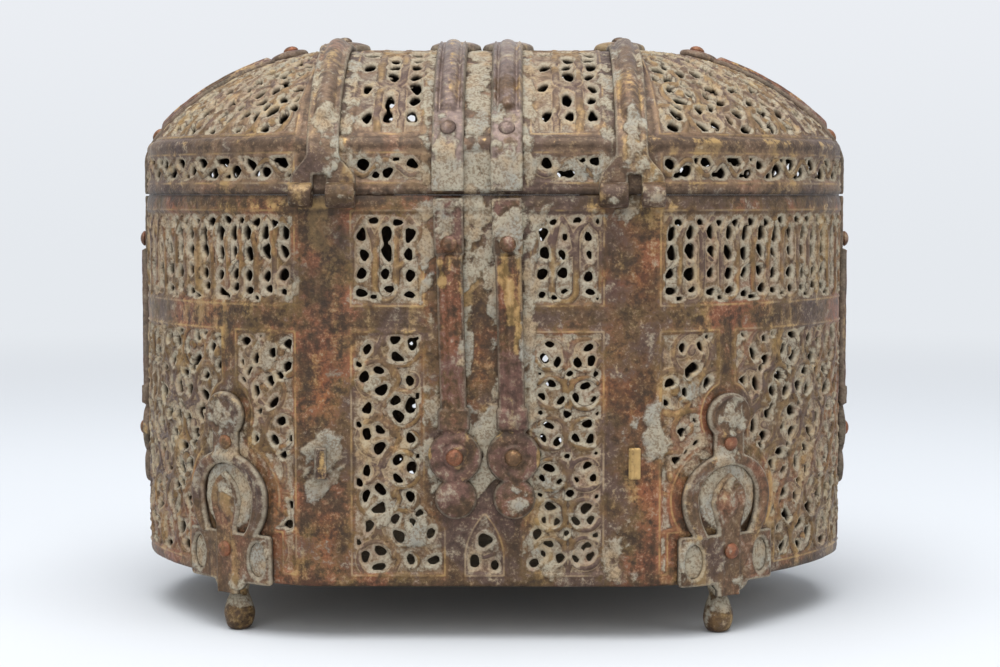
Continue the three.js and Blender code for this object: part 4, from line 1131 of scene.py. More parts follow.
def strap_rise(x, y):
    """Height of a strap over its thin bed."""
    d = -y
    ridges = 1.2 + 1.6 * bell(x, 1.7) + 0.8 * bell(np.abs(x) - 3.3, 0.6)
    bar = ridges * soft_step(d, PLATE_END - 0.8, PLATE_END + 0.6) * (1 - soft_step(d, 72, 74))
    plate = 0.8 * (1 - soft_step(d, PLATE_END - 0.4, PLATE_END + 0.4))
    boss = 0.9 * bell(np.hypot(x, d - 14.6), 2.6, 4)
    collar = 2.6 * soft_step(d, COLLAR[0] - 0.3, COLLAR[0] + 0.4)
    collar = collar * (1 - soft_step(d, COLLAR[1] - 0.4, COLLAR[1] + 0.3))
    collar *= 1 - soft_step(np.abs(x), 4.6, 5.2)
    r = np.hypot(x, d - DISC_MIDDLE)
    disc = button(r, DISC_RADIUS, 1.4, 1.0) - 0.5 * bell(r - 4.2, 0.7) + 0.35 * bell(r - 3.2, 0.4)
    disc = np.where(r < DISC_RADIUS, disc, 0)
    lobe = button(np.hypot(x, d - LOBE_MIDDLE), LOBE_RADIUS, 0.9, 1.2)
    neck = 0.9 * (np.abs(x) < 3.2) * soft_step(d, DISC_MIDDLE, DISC_MIDDLE + 2) * (d < LOBE_MIDDLE)
    return np.maximum.reduce([plate + boss * (d < PLATE_END), bar, collar, disc, lobe, neck])


def strap_crest(x, y):
    d = -y
    ridge = bell(x, 0.55) + 0.6 * bell(np.abs(x) - 3.05, 0.4)
    ridge = ridge * soft_step(d, PLATE_END, PLATE_END + 2) * (1 - soft_step(d, COLLAR[0], COLLAR[0] + 1))
    r = np.hypot(x, d - DISC_MIDDLE)
    return 0.6 * ridge + 0.7 * bell(r - 3.2, 0.4) + 0.8 * bell(r - 7.9, 0.5)


def wall_seat(distance, lean):
    """Places on the flat of the wall round a distance, in a frame that hangs from the seam."""
    x0, y0, sx, sy = plan_at(distance)
    out, along = np.array([sx, sy, 0.0]), np.array([-sy, sx, 0.0])
    origin = np.array([MIDDLE + x0, y0, SEAM])
    c, s = math.cos(lean), math.sin(lean)

    def place(x, y):
        across, up = x * c - y * s, x * s + y * c
        return origin + along * across[..., None] + np.array([0, 0, 1.0]) * up[..., None] + out * SEAT

    return place


FRONT_LEAN = 0.026
CENTRE_X, OUTER_X = 9.0, 47.2
# Each strap: distance, lean, top of the plate, middle of the hinge's tab.
body_straps = {
    "front_strap_left": (-CENTRE_X, FRONT_LEAN, 1.0, None),
    "front_strap_right": (CENTRE_X, FRONT_LEAN, 1.0, None),
    "side_strap_left": (LEFT_END, 0.0, 0.3, None),
    "side_strap_right": (RIGHT_END, 0.0, 0.3, None),
    "hinge_strap_left": (RIGHT_WAY + OUTER_X, 0.0, 4.7, SLOT_SHIFT),
    "hinge_strap_right": (RIGHT_WAY - OUTER_X, 0.0, 4.7, -SLOT_SHIFT),
}
# Each patch: across, along, half width, half height, strength.
STRAP_EARTH = {
    "front_strap_left": [(0, -5, 8, 9, 0.85), (3, -50, 2, 14, 0.5)],
    "front_strap_right": [(0, -8, 8, 13, 1.05), (0, -93, 4.5, 4.5, 1.1), (4, -48, 2, 20, 0.6)],
}
STRAP_GILT = {
    "front_strap_left": [(-2.6, -23, 1.6, 5, 1.1), (-3.0, -36.5, 1.3, 4, 1.0), (-7.9, -80, 0.8, 4, 0.9)],
    "front_strap_right": [
        (-1.0, -24, 2.2, 6, 1.3),
        (0.8, -33, 2.6, 9, 1.4),
        (2.2, -44, 1.6, 6, 1.0),
        (7.9, -79, 0.9, 5, 0.9),
    ],
}
STRAP_DARK = {
    "front_strap_left": [(0, -81, 7, 9, 0.5), (0, -94, 5, 4, 0.55), (-0.6, -12, 3, 9, 0.4)],
    "front_strap_right": [(0, -81, 7, 9, 0.45), (0.6, -60, 2.6, 9, 0.6), (0, -71, 5, 4, 0.6)],
}
xs = np.arange(-9.2, 9.21, STRAP_CELL)
ys = np.arange(-101, 0, STRAP_CELL)
for name, (distance, lean, top, tab) in body_straps.items():
    shape = (strap_metal(top, tab), strap_rise, strap_crest)
    patches = [table.get(name, ()) for table in (STRAP_EARTH, STRAP_GILT, STRAP_DARK)]
    earth, gilt, dark = patches
    seat = wall_seat(distance, lean)
    strap = casting(name + "_cast", seat, xs, ys, shape, BED, earth, gilt=gilt, dark=dark)
    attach(strap, "body")
    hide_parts(name)
    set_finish(strap, "straps")

# %% [markdown]
# ## The straps over the lid
# Two pairs of straps run from the front seam over the crown to the back. Their flat feet lie on the
# skirt, three ridges run up the dome and each crosses a round boss on the crown. The outer pair
# widen at their feet and roll into knuckles. A shorter strap climbs each end.

# %% Straps on the lid
OVER = 2 * (CLIMB + CROWN_FLAT)
STRAP_HALF, FLARED_HALF, END_STRAP_HALF = 4.9, 10, 4.7
SLOT_HALF, SLOT_END = 2.1, 6.2
BOSS_RADIUS, SIDE_LOBE_RADIUS = 8.8, 6.4
SIDE_STRAP_TOP = float(np.interp(0.92, np.linspace(0, 1, 800), climb[1:]))
REACHES = {"front": HALF_DEPTH, "right": FRONT_FLAT + RIGHT_RUN, "left": FRONT_FLAT + LEFT_RUN}


def lid_seat(offset, side):
    """Places over the lid; y runs up from the seam over the crown. side: front, left or right."""
    way = np.r_[climb, CLIMB + CROWN_FLAT * 2 + CLIMB - climb[::-1]]
    lean_in = np.r_[climb_inset, 2 * HALF_DEPTH - climb_inset[::-1]]
    high = np.r_[climb_height, climb_height[::-1]]

    def place(x, y):
        depth = np.interp(y, way, lean_in) - REACHES[side]
        z = np.interp(y, way, high) + np.minimum(y, 0)
        across = offset + x
        if side == "front":
            return np.stack([MIDDLE + across, depth, z], -1)
        sign = 1 if side == "right" else -1
        return np.stack([MIDDLE - sign * depth, sign * across, z], -1)

    return place


def from_foot(y):
    """The way along a strap from the nearer of its two feet."""
    return np.minimum(y, OVER - y)


def crown_boss(x, y):
    return button(np.hypot(x, y - OVER / 2), BOSS_RADIUS, 1.6, 2.2)


def outer_metal(sign):
    """The outline of an outer strap: it flares at both feet, with a slot between its knuckles."""

    def metal(x, y):
        d = from_foot(y)
        half = STRAP_HALF + (FLARED_HALF - STRAP_HALF) * (1 - soft_step(d, 4.5, 13))
        strip = np.minimum(half - np.abs(x), d)
        boss = round_metal(x, y, 0, OVER / 2, BOSS_RADIUS, BOSS_RADIUS)
        slot = np.minimum(SLOT_HALF - np.abs(x - sign * SLOT_SHIFT), SLOT_END - d)
        return np.minimum(np.maximum(strip, boss), -slot)

    return metal


def outer_rise(x, y):
    d = from_foot(y)
    ridges = 0.7 + 2.4 * dome(x, 2.9) + 0.6 * bell(np.abs(x) - 4.2, 0.6)
    bar = ridges * soft_step(d, 20, 26)
    plate = 0.9 + 0.5 * bell(x, 2.4) * soft_step(d, 9, 15)
    return np.maximum.reduce([bar, plate, crown_boss(x, y)])


def centre_metal(x, y):
    strip = np.minimum(STRAP_HALF - np.abs(x), between(y, 1.2, OVER - 1.2))
    return np.maximum(strip, round_metal(x, y, 0, OVER / 2, BOSS_RADIUS, BOSS_RADIUS))


def centre_rise(x, y):
    d = from_foot(y)
    ridges = 0.7 + 2.1 * dome(x, 2.7) + 1.5 * bell(np.abs(x) - 3.9, 0.65)
    bar = ridges * soft_step(d, 26, 29)
    plate = 0.8 * (1 - soft_step(d, 26, 29))
    return np.maximum.reduce([bar, plate, crown_boss(x, y)])


def lid_crest(x, y):
    return (bell(x, 0.6) + 0.6 * bell(np.abs(x) - 3.3, 0.5)) * soft_step(from_foot(y), 24, 30)


def side_metal(x, y):
    strip = np.minimum(END_STRAP_HALF - np.abs(x), between(y, 0.3, SIDE_STRAP_TOP - 6))
    return np.maximum(strip, round_metal(x, y, 0, SIDE_STRAP_TOP - 6.5, SIDE_LOBE_RADIUS, SIDE_LOBE_RADIUS))


def side_rise(x, y):
    ridges = 0.9 + 1.7 * bell(x, 1.0) + 0.8 * bell(np.abs(x) - 3.1, 0.8)
    bar = ridges * soft_step(y, 20, 25) * (1 - soft_step(y, SIDE_STRAP_TOP - 14, SIDE_STRAP_TOP - 11))
    lobe = button(np.hypot(x, y - SIDE_STRAP_TOP + 6.5), SIDE_LOBE_RADIUS, 1.0, 1.3)
    return np.maximum.reduce([bar, lobe, 0.8 + 0 * x])


OUTER_EARTH = [(2, 18, 6, 14, 0.8), (-4, 50, 3, 24, 0.6), (4, 60, 3, 24, 0.6)]
CENTRE_EARTH = [(0, 8, 8, 12, 0.95), (0, 24, 5, 5, 0.6), (0, OVER - 8, 8, 12, 0.9)]
xs = np.arange(-10.4, 10.41, STRAP_CELL)
over_ys = np.linspace(0, OVER, round(OVER / STRAP_CELL) + 1)
side_ys = np.arange(0, SIDE_STRAP_TOP + 1, STRAP_CELL)
for hand, sign in (("left", -1), ("right", 1)):
    outer = (outer_metal(sign), outer_rise, lid_crest)
    centre = (centre_metal, centre_rise, lid_crest)
    end = (side_metal, side_rise, lid_crest)
    lid_straps = {
        f"lid_strap_outer_{hand}": (lid_seat(sign * OUTER_X, "front"), over_ys, outer, OUTER_EARTH, 0.24),
        f"lid_strap_centre_{hand}": (lid_seat(sign * CENTRE_X, "front"), over_ys, centre, CENTRE_EARTH, 0.22),
        f"lid_side_strap_{hand}": (lid_seat(0, hand), side_ys, end, (), 0.12),
    }
    for node, (seat, ys, shape, earth, spread) in lid_straps.items():
        piece = casting(node + "_cast", seat, xs, ys, shape, BED + SEAT, earth, spread)
        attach(piece, "lid")
        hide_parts(node)
        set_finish(piece, "straps")

# %% [markdown]
# ## The mounts over the feet
# Each foot is crowned by a pierced mount riveted to the wall: a block with two oval windows, a
# horseshoe arch round an almond-shaped bud, and a ringed disc on a short neck. Three of the four
# lean a very little along the wall, each by its own amount.

# %% Mounts
ARCH_MIDDLE = 26.2
ARCH_OUTER, ARCH_INNER = (17.3, 14.2, 18.0), (11.6, 10.4, 16.0)
RING_MIDDLE, RING_ACROSS, RING_UP = 52.0, 8.4, 7.2
WINDOW_X, WINDOW_Y, WINDOW_ACROSS, WINDOW_UP = 13.4, 7.0, 3.4, 5.4


def mount_seat(distance, lean):
    """Places on the curved wall; x runs along it and y up from its foot."""

    def place(x, y):
        along = distance + x + lean * y
        way = plan_at(along + 0.5)[..., :2] - plan_at(along - 0.5)[..., :2]
        out = np.stack([way[..., 1], -way[..., 0]], -1)
        out /= np.linalg.norm(out, axis=-1, keepdims=True)
        xy = plan_at(along)[..., :2] + out * SEAT
        return np.stack([MIDDLE + xy[..., 0], xy[..., 1], WALL_FOOT + y], -1)

    return place


def horseshoe(x, y, rx, top, foot):
    """1 on an arch that is round above its middle and draws in a little towards its feet."""
    lift = y - ARCH_MIDDLE
    return np.hypot(x / rx, lift / np.where(lift > 0, top, foot))


def bud_metal(x, y):
    """A bud with its point upwards, which grows out of the block."""
    half = np.interp(y, [13, 17, 21, 25, 28.5, 31.5, 34.2], [4.4, 4.6, 6.0, 6.9, 6.2, 3.9, 0])
    return np.minimum(half - np.abs(x), 34.0 - y) * 0.8


def mount_metal(x, y):
    block = box_metal(x, y, -18.6, 18.6, -0.7, 14.9, 1.2)
    for side in (-1, 1):
        block = np.minimum(block, -round_metal(x, y, side * WINDOW_X, WINDOW_Y, WINDOW_ACROSS, WINDOW_UP))
    tongue = round_metal(x, y, 1.0, -0.7, 6.8, 3.3)
    arch = np.minimum((1 - horseshoe(x, y, *ARCH_OUTER)) * 14, (horseshoe(x, y, *ARCH_INNER) - 1) * 10)
    arch = np.minimum(arch, y - 13.5)
    neck = box_metal(x, y, -5.8, 5.8, 37.5, 52, 0.5)
    ring = round_metal(x, y, 0, RING_MIDDLE, RING_ACROSS, RING_UP)
    return np.maximum.reduce([block, tongue, arch, bud_metal(x, y), neck, ring])


def mount_rise(x, y):
    outer, inner = horseshoe(x, y, *ARCH_OUTER), horseshoe(x, y, *ARCH_INNER)
    arch = 1.1 * bell(outer - 0.9, 0.09) + 0.5 * bell(inner - 1.09, 0.05)
    arch = np.where((outer < 1.02) & (inner > 0.98) & (y > 14) & (y < 40), 0.5 + arch, 0)
    bud = bud_metal(x, y)
    boss = np.sqrt(np.clip(1 - (x / 3.2) ** 2 - ((y - 24.6) / 4.3) ** 2, 0, 1))
    bud = np.where(bud > 0, 0.5 + 0.8 * bell(bud - 0.9, 0.7) + 1.3 * boss, 0)
    q = np.hypot(x / RING_ACROSS, (y - RING_MIDDLE) / RING_UP)
    ring = np.where(q < 1.02, 0.7 + 1.0 * bell(q - 0.84, 0.1) + 0.7 * bell(q, 0.6, 4), 0)
    window = np.hypot((np.abs(x) - WINDOW_X) / WINDOW_ACROSS, (y - WINDOW_Y) / WINDOW_UP)
    block = 0.75 + 0.3 * bell(window - 1.25, 0.14) + 0.6 * bell(np.hypot(x, y - 9.5), 3.4, 4)
    block = np.where(y < 15.2, block, 0)
    return np.maximum.reduce([arch, bud, ring, block, 0.6 + 0 * x])


def mount_crest(x, y):
    outer = horseshoe(x, y, *ARCH_OUTER)
    rim = np.where((outer < 1.05) & (y > 14) & (y < 42), bell(outer - 0.95, 0.03), 0)
    q = np.hypot(x / RING_ACROSS, (y - RING_MIDDLE) / RING_UP)
    return rim + bell(q - 0.86, 0.07)


MOUNT_LEANS = {"front_right": 0.0, "back_right": 0.01, "back_left": -0.01, "front_left": -0.02}
MOUNT_EARTH = [
    (-15, 7, 5, 8, 0.8),
    (15, 7, 5, 8, 0.7),
    (0, 52, 7, 7, 0.9),
    (0, 39, 8, 5, 0.8),
    (0, 28, 9, 9, 0.55),
    (5, -1, 5, 4, 0.7),
]
xs = np.arange(-19.5, 19.51, STRAP_CELL * 1.1)
ys = np.arange(-4.6, 60.2, STRAP_CELL * 1.1)
for corner, lean in MOUNT_LEANS.items():
    seat = mount_seat(FEET[corner], lean)
    shape = (mount_metal, mount_rise, mount_crest)
    mount = casting(f"foot_mount_{corner}_cast", seat, xs, ys, shape, BED, MOUNT_EARTH, 0.2)
    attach(mount, "body")
    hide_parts(f"foot_mount_{corner}")
    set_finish(mount, "foot_mounts")

# %% [markdown]
# ## Turned and hammered pieces
# Feet, rivets, pins and knuckles are round. A profile is turned about a line, as on a lathe, and
# then each ring is pushed a little out of round, because these were filed and hammered by hand.

# %% Turning


def turned(name, profile, matrix, steps=40, wobble=0.03, seed=1, ring=False, crust_at=lambda h: 0.2 + 0 * h):
    """Turns (radius, height) pairs in mm about z; ring=True closes the profile on itself."""
    profile = np.array(profile, float)
    angles = np.arange(steps) * 2 * math.pi / steps
    verts, index = [], []
    for r, h in profile:
        if r < 1e-6:
            index.append([len(verts)] * steps)
            verts.append((0, 0, h))
            continue
        index.append(list(range(len(verts), len(verts) + steps)))
        verts += [(r * math.cos(a), r * math.sin(a), h) for a in angles]
    faces = []
    pairs = list(zip(index, index[1:])) + ([(index[-1], index[0])] if ring else [])
    for low, high in pairs:
        for k in range(steps):
            n = (k + 1) % steps
            unique = list(dict.fromkeys([low[k], low[n], high[n], high[k]]))
            if len(unique) > 2:
                faces.append(unique)
    points = np.array(verts)
    radial = 1 + wobble * ripple(points + 100 * seed, max(3.0, 2.2 * profile[:, 0].max()), seed)
    points[:, :2] *= radial[:, None]
    mesh = bpy.data.meshes.new(name)
    mesh.from_pydata([tuple(p / 1000) for p in points], [], faces)
    mesh.transform(Matrix.Translation([v / 1000 for v in matrix.translation]) @ matrix.to_3x3().to_4x4())
    mesh.shade_smooth()
    crust = crust_at(points[:, 2]) + 0.25 * ripple(points + 50 * seed, 7, seed, 3)
    still = np.zeros(len(points))
    for key, values in (("metal", still + 4), ("near", still + 4), ("border", still - 3), ("crust", crust)):
        keep(mesh, key, values)
    return placed(name, mesh)


def curve_profile(points, steps=8):
    """A smooth profile through a few points."""
    points = np.array(points, float)
    fine = np.linspace(0, len(points) - 1, (len(points) - 1) * steps + 1)
    k = np.minimum(fine.astype(int), len(points) - 2)
    u = fine - k
    out = []
    for p in points.T:
        m = np.gradient(p)
        h = p[k] * (1 + 2 * u) * (1 - u) ** 2 + m[k] * u * (1 - u) ** 2
        h += p[k + 1] * u**2 * (3 - 2 * u) + m[k + 1] * u**2 * (u - 1)
        out.append(h)
    return np.stack(out, 1)


# %% Feet
FOOT_TOP = 16.9
PEAR = [
    (0, 0.0),
    (2.5, 0.12),
    (3.9, 1.2),
    (4.75, 3.8),
    (4.7, 6.4),
    (4.0, 9.0),
    (3.15, 11.2),
    (3.0, 12.6),
    (3.5, 14.4),
    (4.3, FOOT_TOP),
]
pear = curve_profile(PEAR, 6)
pear[:, 0] = np.maximum(pear[:, 0], 0)
pear[0, 0] = 0
pear = np.vstack([pear, [0, FOOT_TOP]])
foot_crust = lambda h: 0.15 + 0.5 * soft_step(h, 5, 11)
for k, corner in enumerate(FEET):
    low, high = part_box(f"foot_{corner}")
    centre = (low + high) * 500
    place = Matrix.Translation((centre[0], centre[1], 0))
    foot = turned(f"foot_{corner}_turned", pear, place, 44, 0.035, 3 + k, crust_at=foot_crust)
    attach(foot, "body")
    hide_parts(f"foot_{corner}")
    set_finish(foot, "feet")

# %% Rivets
RIVET_HEAD = [(0, 1.55), (0.9, 1.45), (1.7, 1.15), (2.35, 0.65), (2.6, 0.15), (2.45, -0.2), (1.6, -0.25)]
CASKET_MIDDLE = np.array([MIDDLE, 0, 95.0])


def axis_of(node):
    """Middle of a rivet's outer end, its outward direction and length, from its solid in the frame."""
    points = np.unique(np.round([v.co[:] for v in frame["nodes"][node].data.vertices], 7), axis=0) * 1000
    middle = points.mean(0)
    values, vectors = np.linalg.eigh(np.cov((points - middle).T))

    # A rivet spreads alike in two directions, so its axis is the one that differs from the others.
    odd = 0 if values[1] - values[0] > values[2] - values[1] else 2
    way = vectors[:, odd]
    if way.dot(middle - CASKET_MIDDLE) < 0:
        way = -way
    along = (points - middle) @ way
    return middle + way * along.max(), way, along.max() - along.min()


def frame_along(origin, way):
    """A matrix whose z axis points along a direction."""
    turn = Vector(way).to_track_quat("Z", "Y").to_matrix().to_4x4()
    return Matrix.Translation(origin) @ turn


def height_over(trees, tip, way):
    """How far a rivet's outer end stands over the casting that it holds, in mm."""
    start = Vector((tip + way * 6) / 1000)
    hits = [tree.ray_cast(start, -Vector(way), 0.012)[3] for tree in trees]
    found = [hit * 1000 for hit in hits if hit is not None]
    return min(found) - 6 if found else 1.6


rivet_nodes = sorted(n for n in frame["nodes"] if "_rivet_" in n)
bpy.context.view_layer.update()
depsgraph = bpy.context.evaluated_depsgraph_get()
under = [BVHTree.FromObject(o, depsgraph) for o in bpy.data.objects if o.name.endswith("_cast")]
stands = []
bare = lambda h: 0 * h
for k, node in enumerate(rivet_nodes):
    tip, way, length = axis_of(node)
    over = height_over(under, tip, way)
    stands.append(over)
    inner = over - length
    shank = [(1.5, -0.5), (1.5, inner + 0.3)]
    tail = [(1.9, inner + 0.25), (2.0, inner - 0.2), (0, inner - 0.45)]
    profile = (RIVET_HEAD + shank + tail)[::-1]
    place = frame_along(tip - way * over, way)
    piece = turned(node + "_head", profile, place, 20, 0.05, 40 + k, crust_at=bare)
    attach(piece, "lid" if node.startswith("lid") else "body")
    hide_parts(node)
    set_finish(piece, "rivets")
ends = f"ends {min(stands):.2f} to {max(stands):.2f} mm over the castings"
print(len(rivet_nodes), "rivets,", ends)

# %% [markdown]
# ## Knuckles and pins
# The outer lid straps end in rolled knuckles. At the back they turn on pins with the knuckle of the
# strap below. At the front the hasps that once hung there are lost, so the tubes stand empty.

# %% Knuckles
KNUCKLE, HOLLOW, BORE = 3.85, 2.3, 1.58
AXIS_Y = HALF_DEPTH + SEAT + KNUCKLE
PIN_END = [(0, 11.3), (1.9, 11.1), (2.3, 10.7), (2.2, 10.3), (1.5, 10.2)]
PIN = [(r, -h) for r, h in PIN_END] + PIN_END[::-1]


def tube(name, x0, x1, y, hollow, seed):
    """A rolled tube along x between two places, with softened rims."""
    half = (x1 - x0) / 2
    profile = [
        (KNUCKLE - 0.35, -half),
        (KNUCKLE, -half + 0.4),
        (KNUCKLE + 0.05, 0),
        (KNUCKLE, half - 0.4),
        (KNUCKLE - 0.35, half),
        (hollow + 0.25, half),
        (hollow, half - 0.3),
        (hollow, -half + 0.3),
        (hollow + 0.25, -half),
    ]
    place = frame_along(((x0 + x1) / 2, y, SEAM), (1, 0, 0))
    return turned(name, profile, place, 40, 0.02, seed, ring=True)


for k, (hand, sign) in enumerate((("left", -1), ("right", 1))):
    middle = MIDDLE + sign * OUTER_X
    slot = middle + sign * SLOT_SHIFT
    spans = [(middle - FLARED_HALF, slot - SLOT_HALF), (slot + SLOT_HALF, middle + FLARED_HALF)]
    for end, y, hollow in (("front", -AXIS_Y, HOLLOW), ("back", AXIS_Y, BORE)):
        for number, (x0, x1) in enumerate(spans):
            knuckle = tube(f"knuckle_{end}_{hand}_{number}", x0, x1, y, hollow, 70 + 8 * k + number)
            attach(knuckle, "lid")
            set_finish(knuckle, "straps")
    barrel = tube(f"hinge_barrel_{hand}", slot - TAB_HALF, slot + TAB_HALF, AXIS_Y, BORE, 90 + k)
    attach(barrel, "body")
    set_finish(barrel, "straps")
    place = frame_along((middle, AXIS_Y, SEAM), (1, 0, 0))
    pin = turned(f"hinge_pin_{hand}_rod", PIN, place, 28, 0.01, 95 + k)
    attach(pin, "body")
    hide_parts(f"hinge_pin_{hand}")
    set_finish(pin, "hinge_pins")

# %% [markdown]
# ## Stubs of the hasp staples
# A short stub stands in each wide plain strip, where the staple for a hasp went through the wall.
# The right one is still golden, and the left one is dull.

# %% Staples
STAPLE_DROP, STAPLE_OUT, STAPLE_CELL, STAPLE_BED = 82.5, 1.2, 0.35, 0.4


def staple_metal(x, y):
    return box_metal(x, y, -1.85, 1.85, -4.9, 4.9, 0.5)


def staple_rise(x, y):
    return 0.7 + 0.9 * bell(x + 0.7, 0.5) + 0.5 * soft_step(y, 2.5, 4.5)


def staple_crest(x, y):
    return np.ones_like(x)


xs = np.arange(-2.6, 2.61, STAPLE_CELL)
ys = np.arange(-5.6, 5.61, STAPLE_CELL)
for hand, sign in (("left", -1), ("right", 1)):
    seat = wall_seat(sign * (OUTER_X + STAPLE_OUT), 0.0)
    lowered = lambda x, y: seat(x, y - STAPLE_DROP)
    shape = (staple_metal, staple_rise, staple_crest)
    stub = casting(f"hasp_staple_{hand}_stub", lowered, xs, ys, shape, STAPLE_BED)
    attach(stub, "body")
    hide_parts(f"hasp_staple_{hand}")
    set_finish(stub, "staples")

# %% [markdown]
# ## The patina
# Bronze that has lain in the ground is never one colour. The brown metal turns copper red in some
# places and purple grey in others. Pale grey-green corrosion and sandy earth sit where no hand or
# cloth reaches: round the holes and in the sunk ground of the carving. Ridges are rubbed to gold,
# and that gold also serves as painted highlights. Shade is painted too: into the grooves, the seam,
# the flanks of the castings and the inside. The nets carry the distances that say where those
# places are, and noise breaks up their borders.

# %% Paint tools


def straight(v):
    """One channel, from 0 to 255 as seen, in the straight values that shaders use."""
    return v / 255 / 12.92 if v <= 10 else ((v / 255 + 0.055) / 1.055) ** 2.4


def tone(red, green, blue):
    return (straight(red), straight(green), straight(blue), 1.0)


class Paint:
    """The nodes of one material. Inputs are links or plain values."""

    def __init__(self, name):
        self.material = bpy.data.materials.new(name)
        self.material.use_nodes = True
        self.tree = self.material.node_tree
        self.surface = self.tree.nodes["Principled BSDF"]
        self.place = self.tree.nodes.new("ShaderNodeTexCoord").outputs["Object"]

    def put(self, socket, value):
        if isinstance(value, bpy.types.NodeSocket):
            self.tree.links.new(value, socket)
        else:
            socket.default_value = value

    def noise(self, size, seed=0, detail=5, rough=0.55, stretch=(1, 1, 1), warp=0.0):
        """Noise whose blots are about size mm wide."""
        mapping = self.tree.nodes.new("ShaderNodeMapping")
        self.put(mapping.inputs["Vector"], self.place)
        mapping.inputs["Location"].default_value = (seed * 0.37, seed * 0.61, seed * 0.23)
        mapping.inputs["Scale"].default_value = stretch
        node = self.tree.nodes.new("ShaderNodeTexNoise")
        self.put(node.inputs["Vector"], mapping.outputs[0])
        node.inputs["Scale"].default_value = 1000 / size
        node.inputs["Detail"].default_value = detail
        node.inputs["Roughness"].default_value = rough
        node.inputs["Distortion"].default_value = warp
        return node.outputs[0]

    def field(self, name):
        node = self.tree.nodes.new("ShaderNodeAttribute")
        node.attribute_name = name
        return node.outputs["Fac"]

    def level(self, value, low, high, bottom=0.0, top=1.0):
        """A soft step from bottom to top as value goes from low to high."""
        node = self.tree.nodes.new("ShaderNodeMapRange")
        node.interpolation_type = "SMOOTHSTEP"
        for k, v in enumerate((value, low, high, bottom, top)):
            self.put(node.inputs[k], v)
        return node.outputs[0]

    def math(self, operation, a, b=0.0, c=0.0):
        node = self.tree.nodes.new("ShaderNodeMath")
        node.operation = operation
        for k, v in enumerate((a, b, c)):
            self.put(node.inputs[k], v)
        return node.outputs[0]

    def times(self, total, *values):
        for value in values:
            total = self.math("MULTIPLY", total, value)
        return total

    def plus(self, total, *values):
        for value in values:
            total = self.math("ADD", total, value)
        return total

    def scaled(self, value, amount, offset=0.0):
        """value times amount plus offset."""
        return self.math("MULTIPLY_ADD", value, amount, offset)

    def blend(self, factor, first, second):
        """first where factor is 0, second where it is 1."""
        node = self.tree.nodes.new("ShaderNodeMix")
        node.data_type = "RGBA"
        self.put(node.inputs[0], factor)
        self.put(node.inputs[6], first)
        self.put(node.inputs[7], second)
        return node.outputs[2]


BROWN, RED, PURPLE = tone(106, 79, 54), tone(132, 82, 59), tone(84, 65, 59)
RUST, OLIVE, GOLD, DEEP = tone(156, 90, 58), tone(120, 96, 56), tone(178, 146, 94), tone(46, 35, 27)
PALE, SAND, PINK = tone(163, 155, 136), tone(164, 142, 112), tone(148, 114, 93)
GREY, VEIL, WINE, MAUVE = tone(150, 148, 137), tone(146, 121, 101), tone(112, 80, 72), tone(122, 104, 98)
AMBER, CHALK, LOAM = tone(158, 108, 62), tone(184, 176, 155), tone(118, 98, 76)
INSIDE_SHADE, UMBER, DUST = tone(44, 35, 28), tone(74, 60, 46), tone(112, 98, 76)

# %% Old bronze
UPRIGHT, OVER_THE_LID = (1, 1, 0.35), (1, 0.35, 0.35)


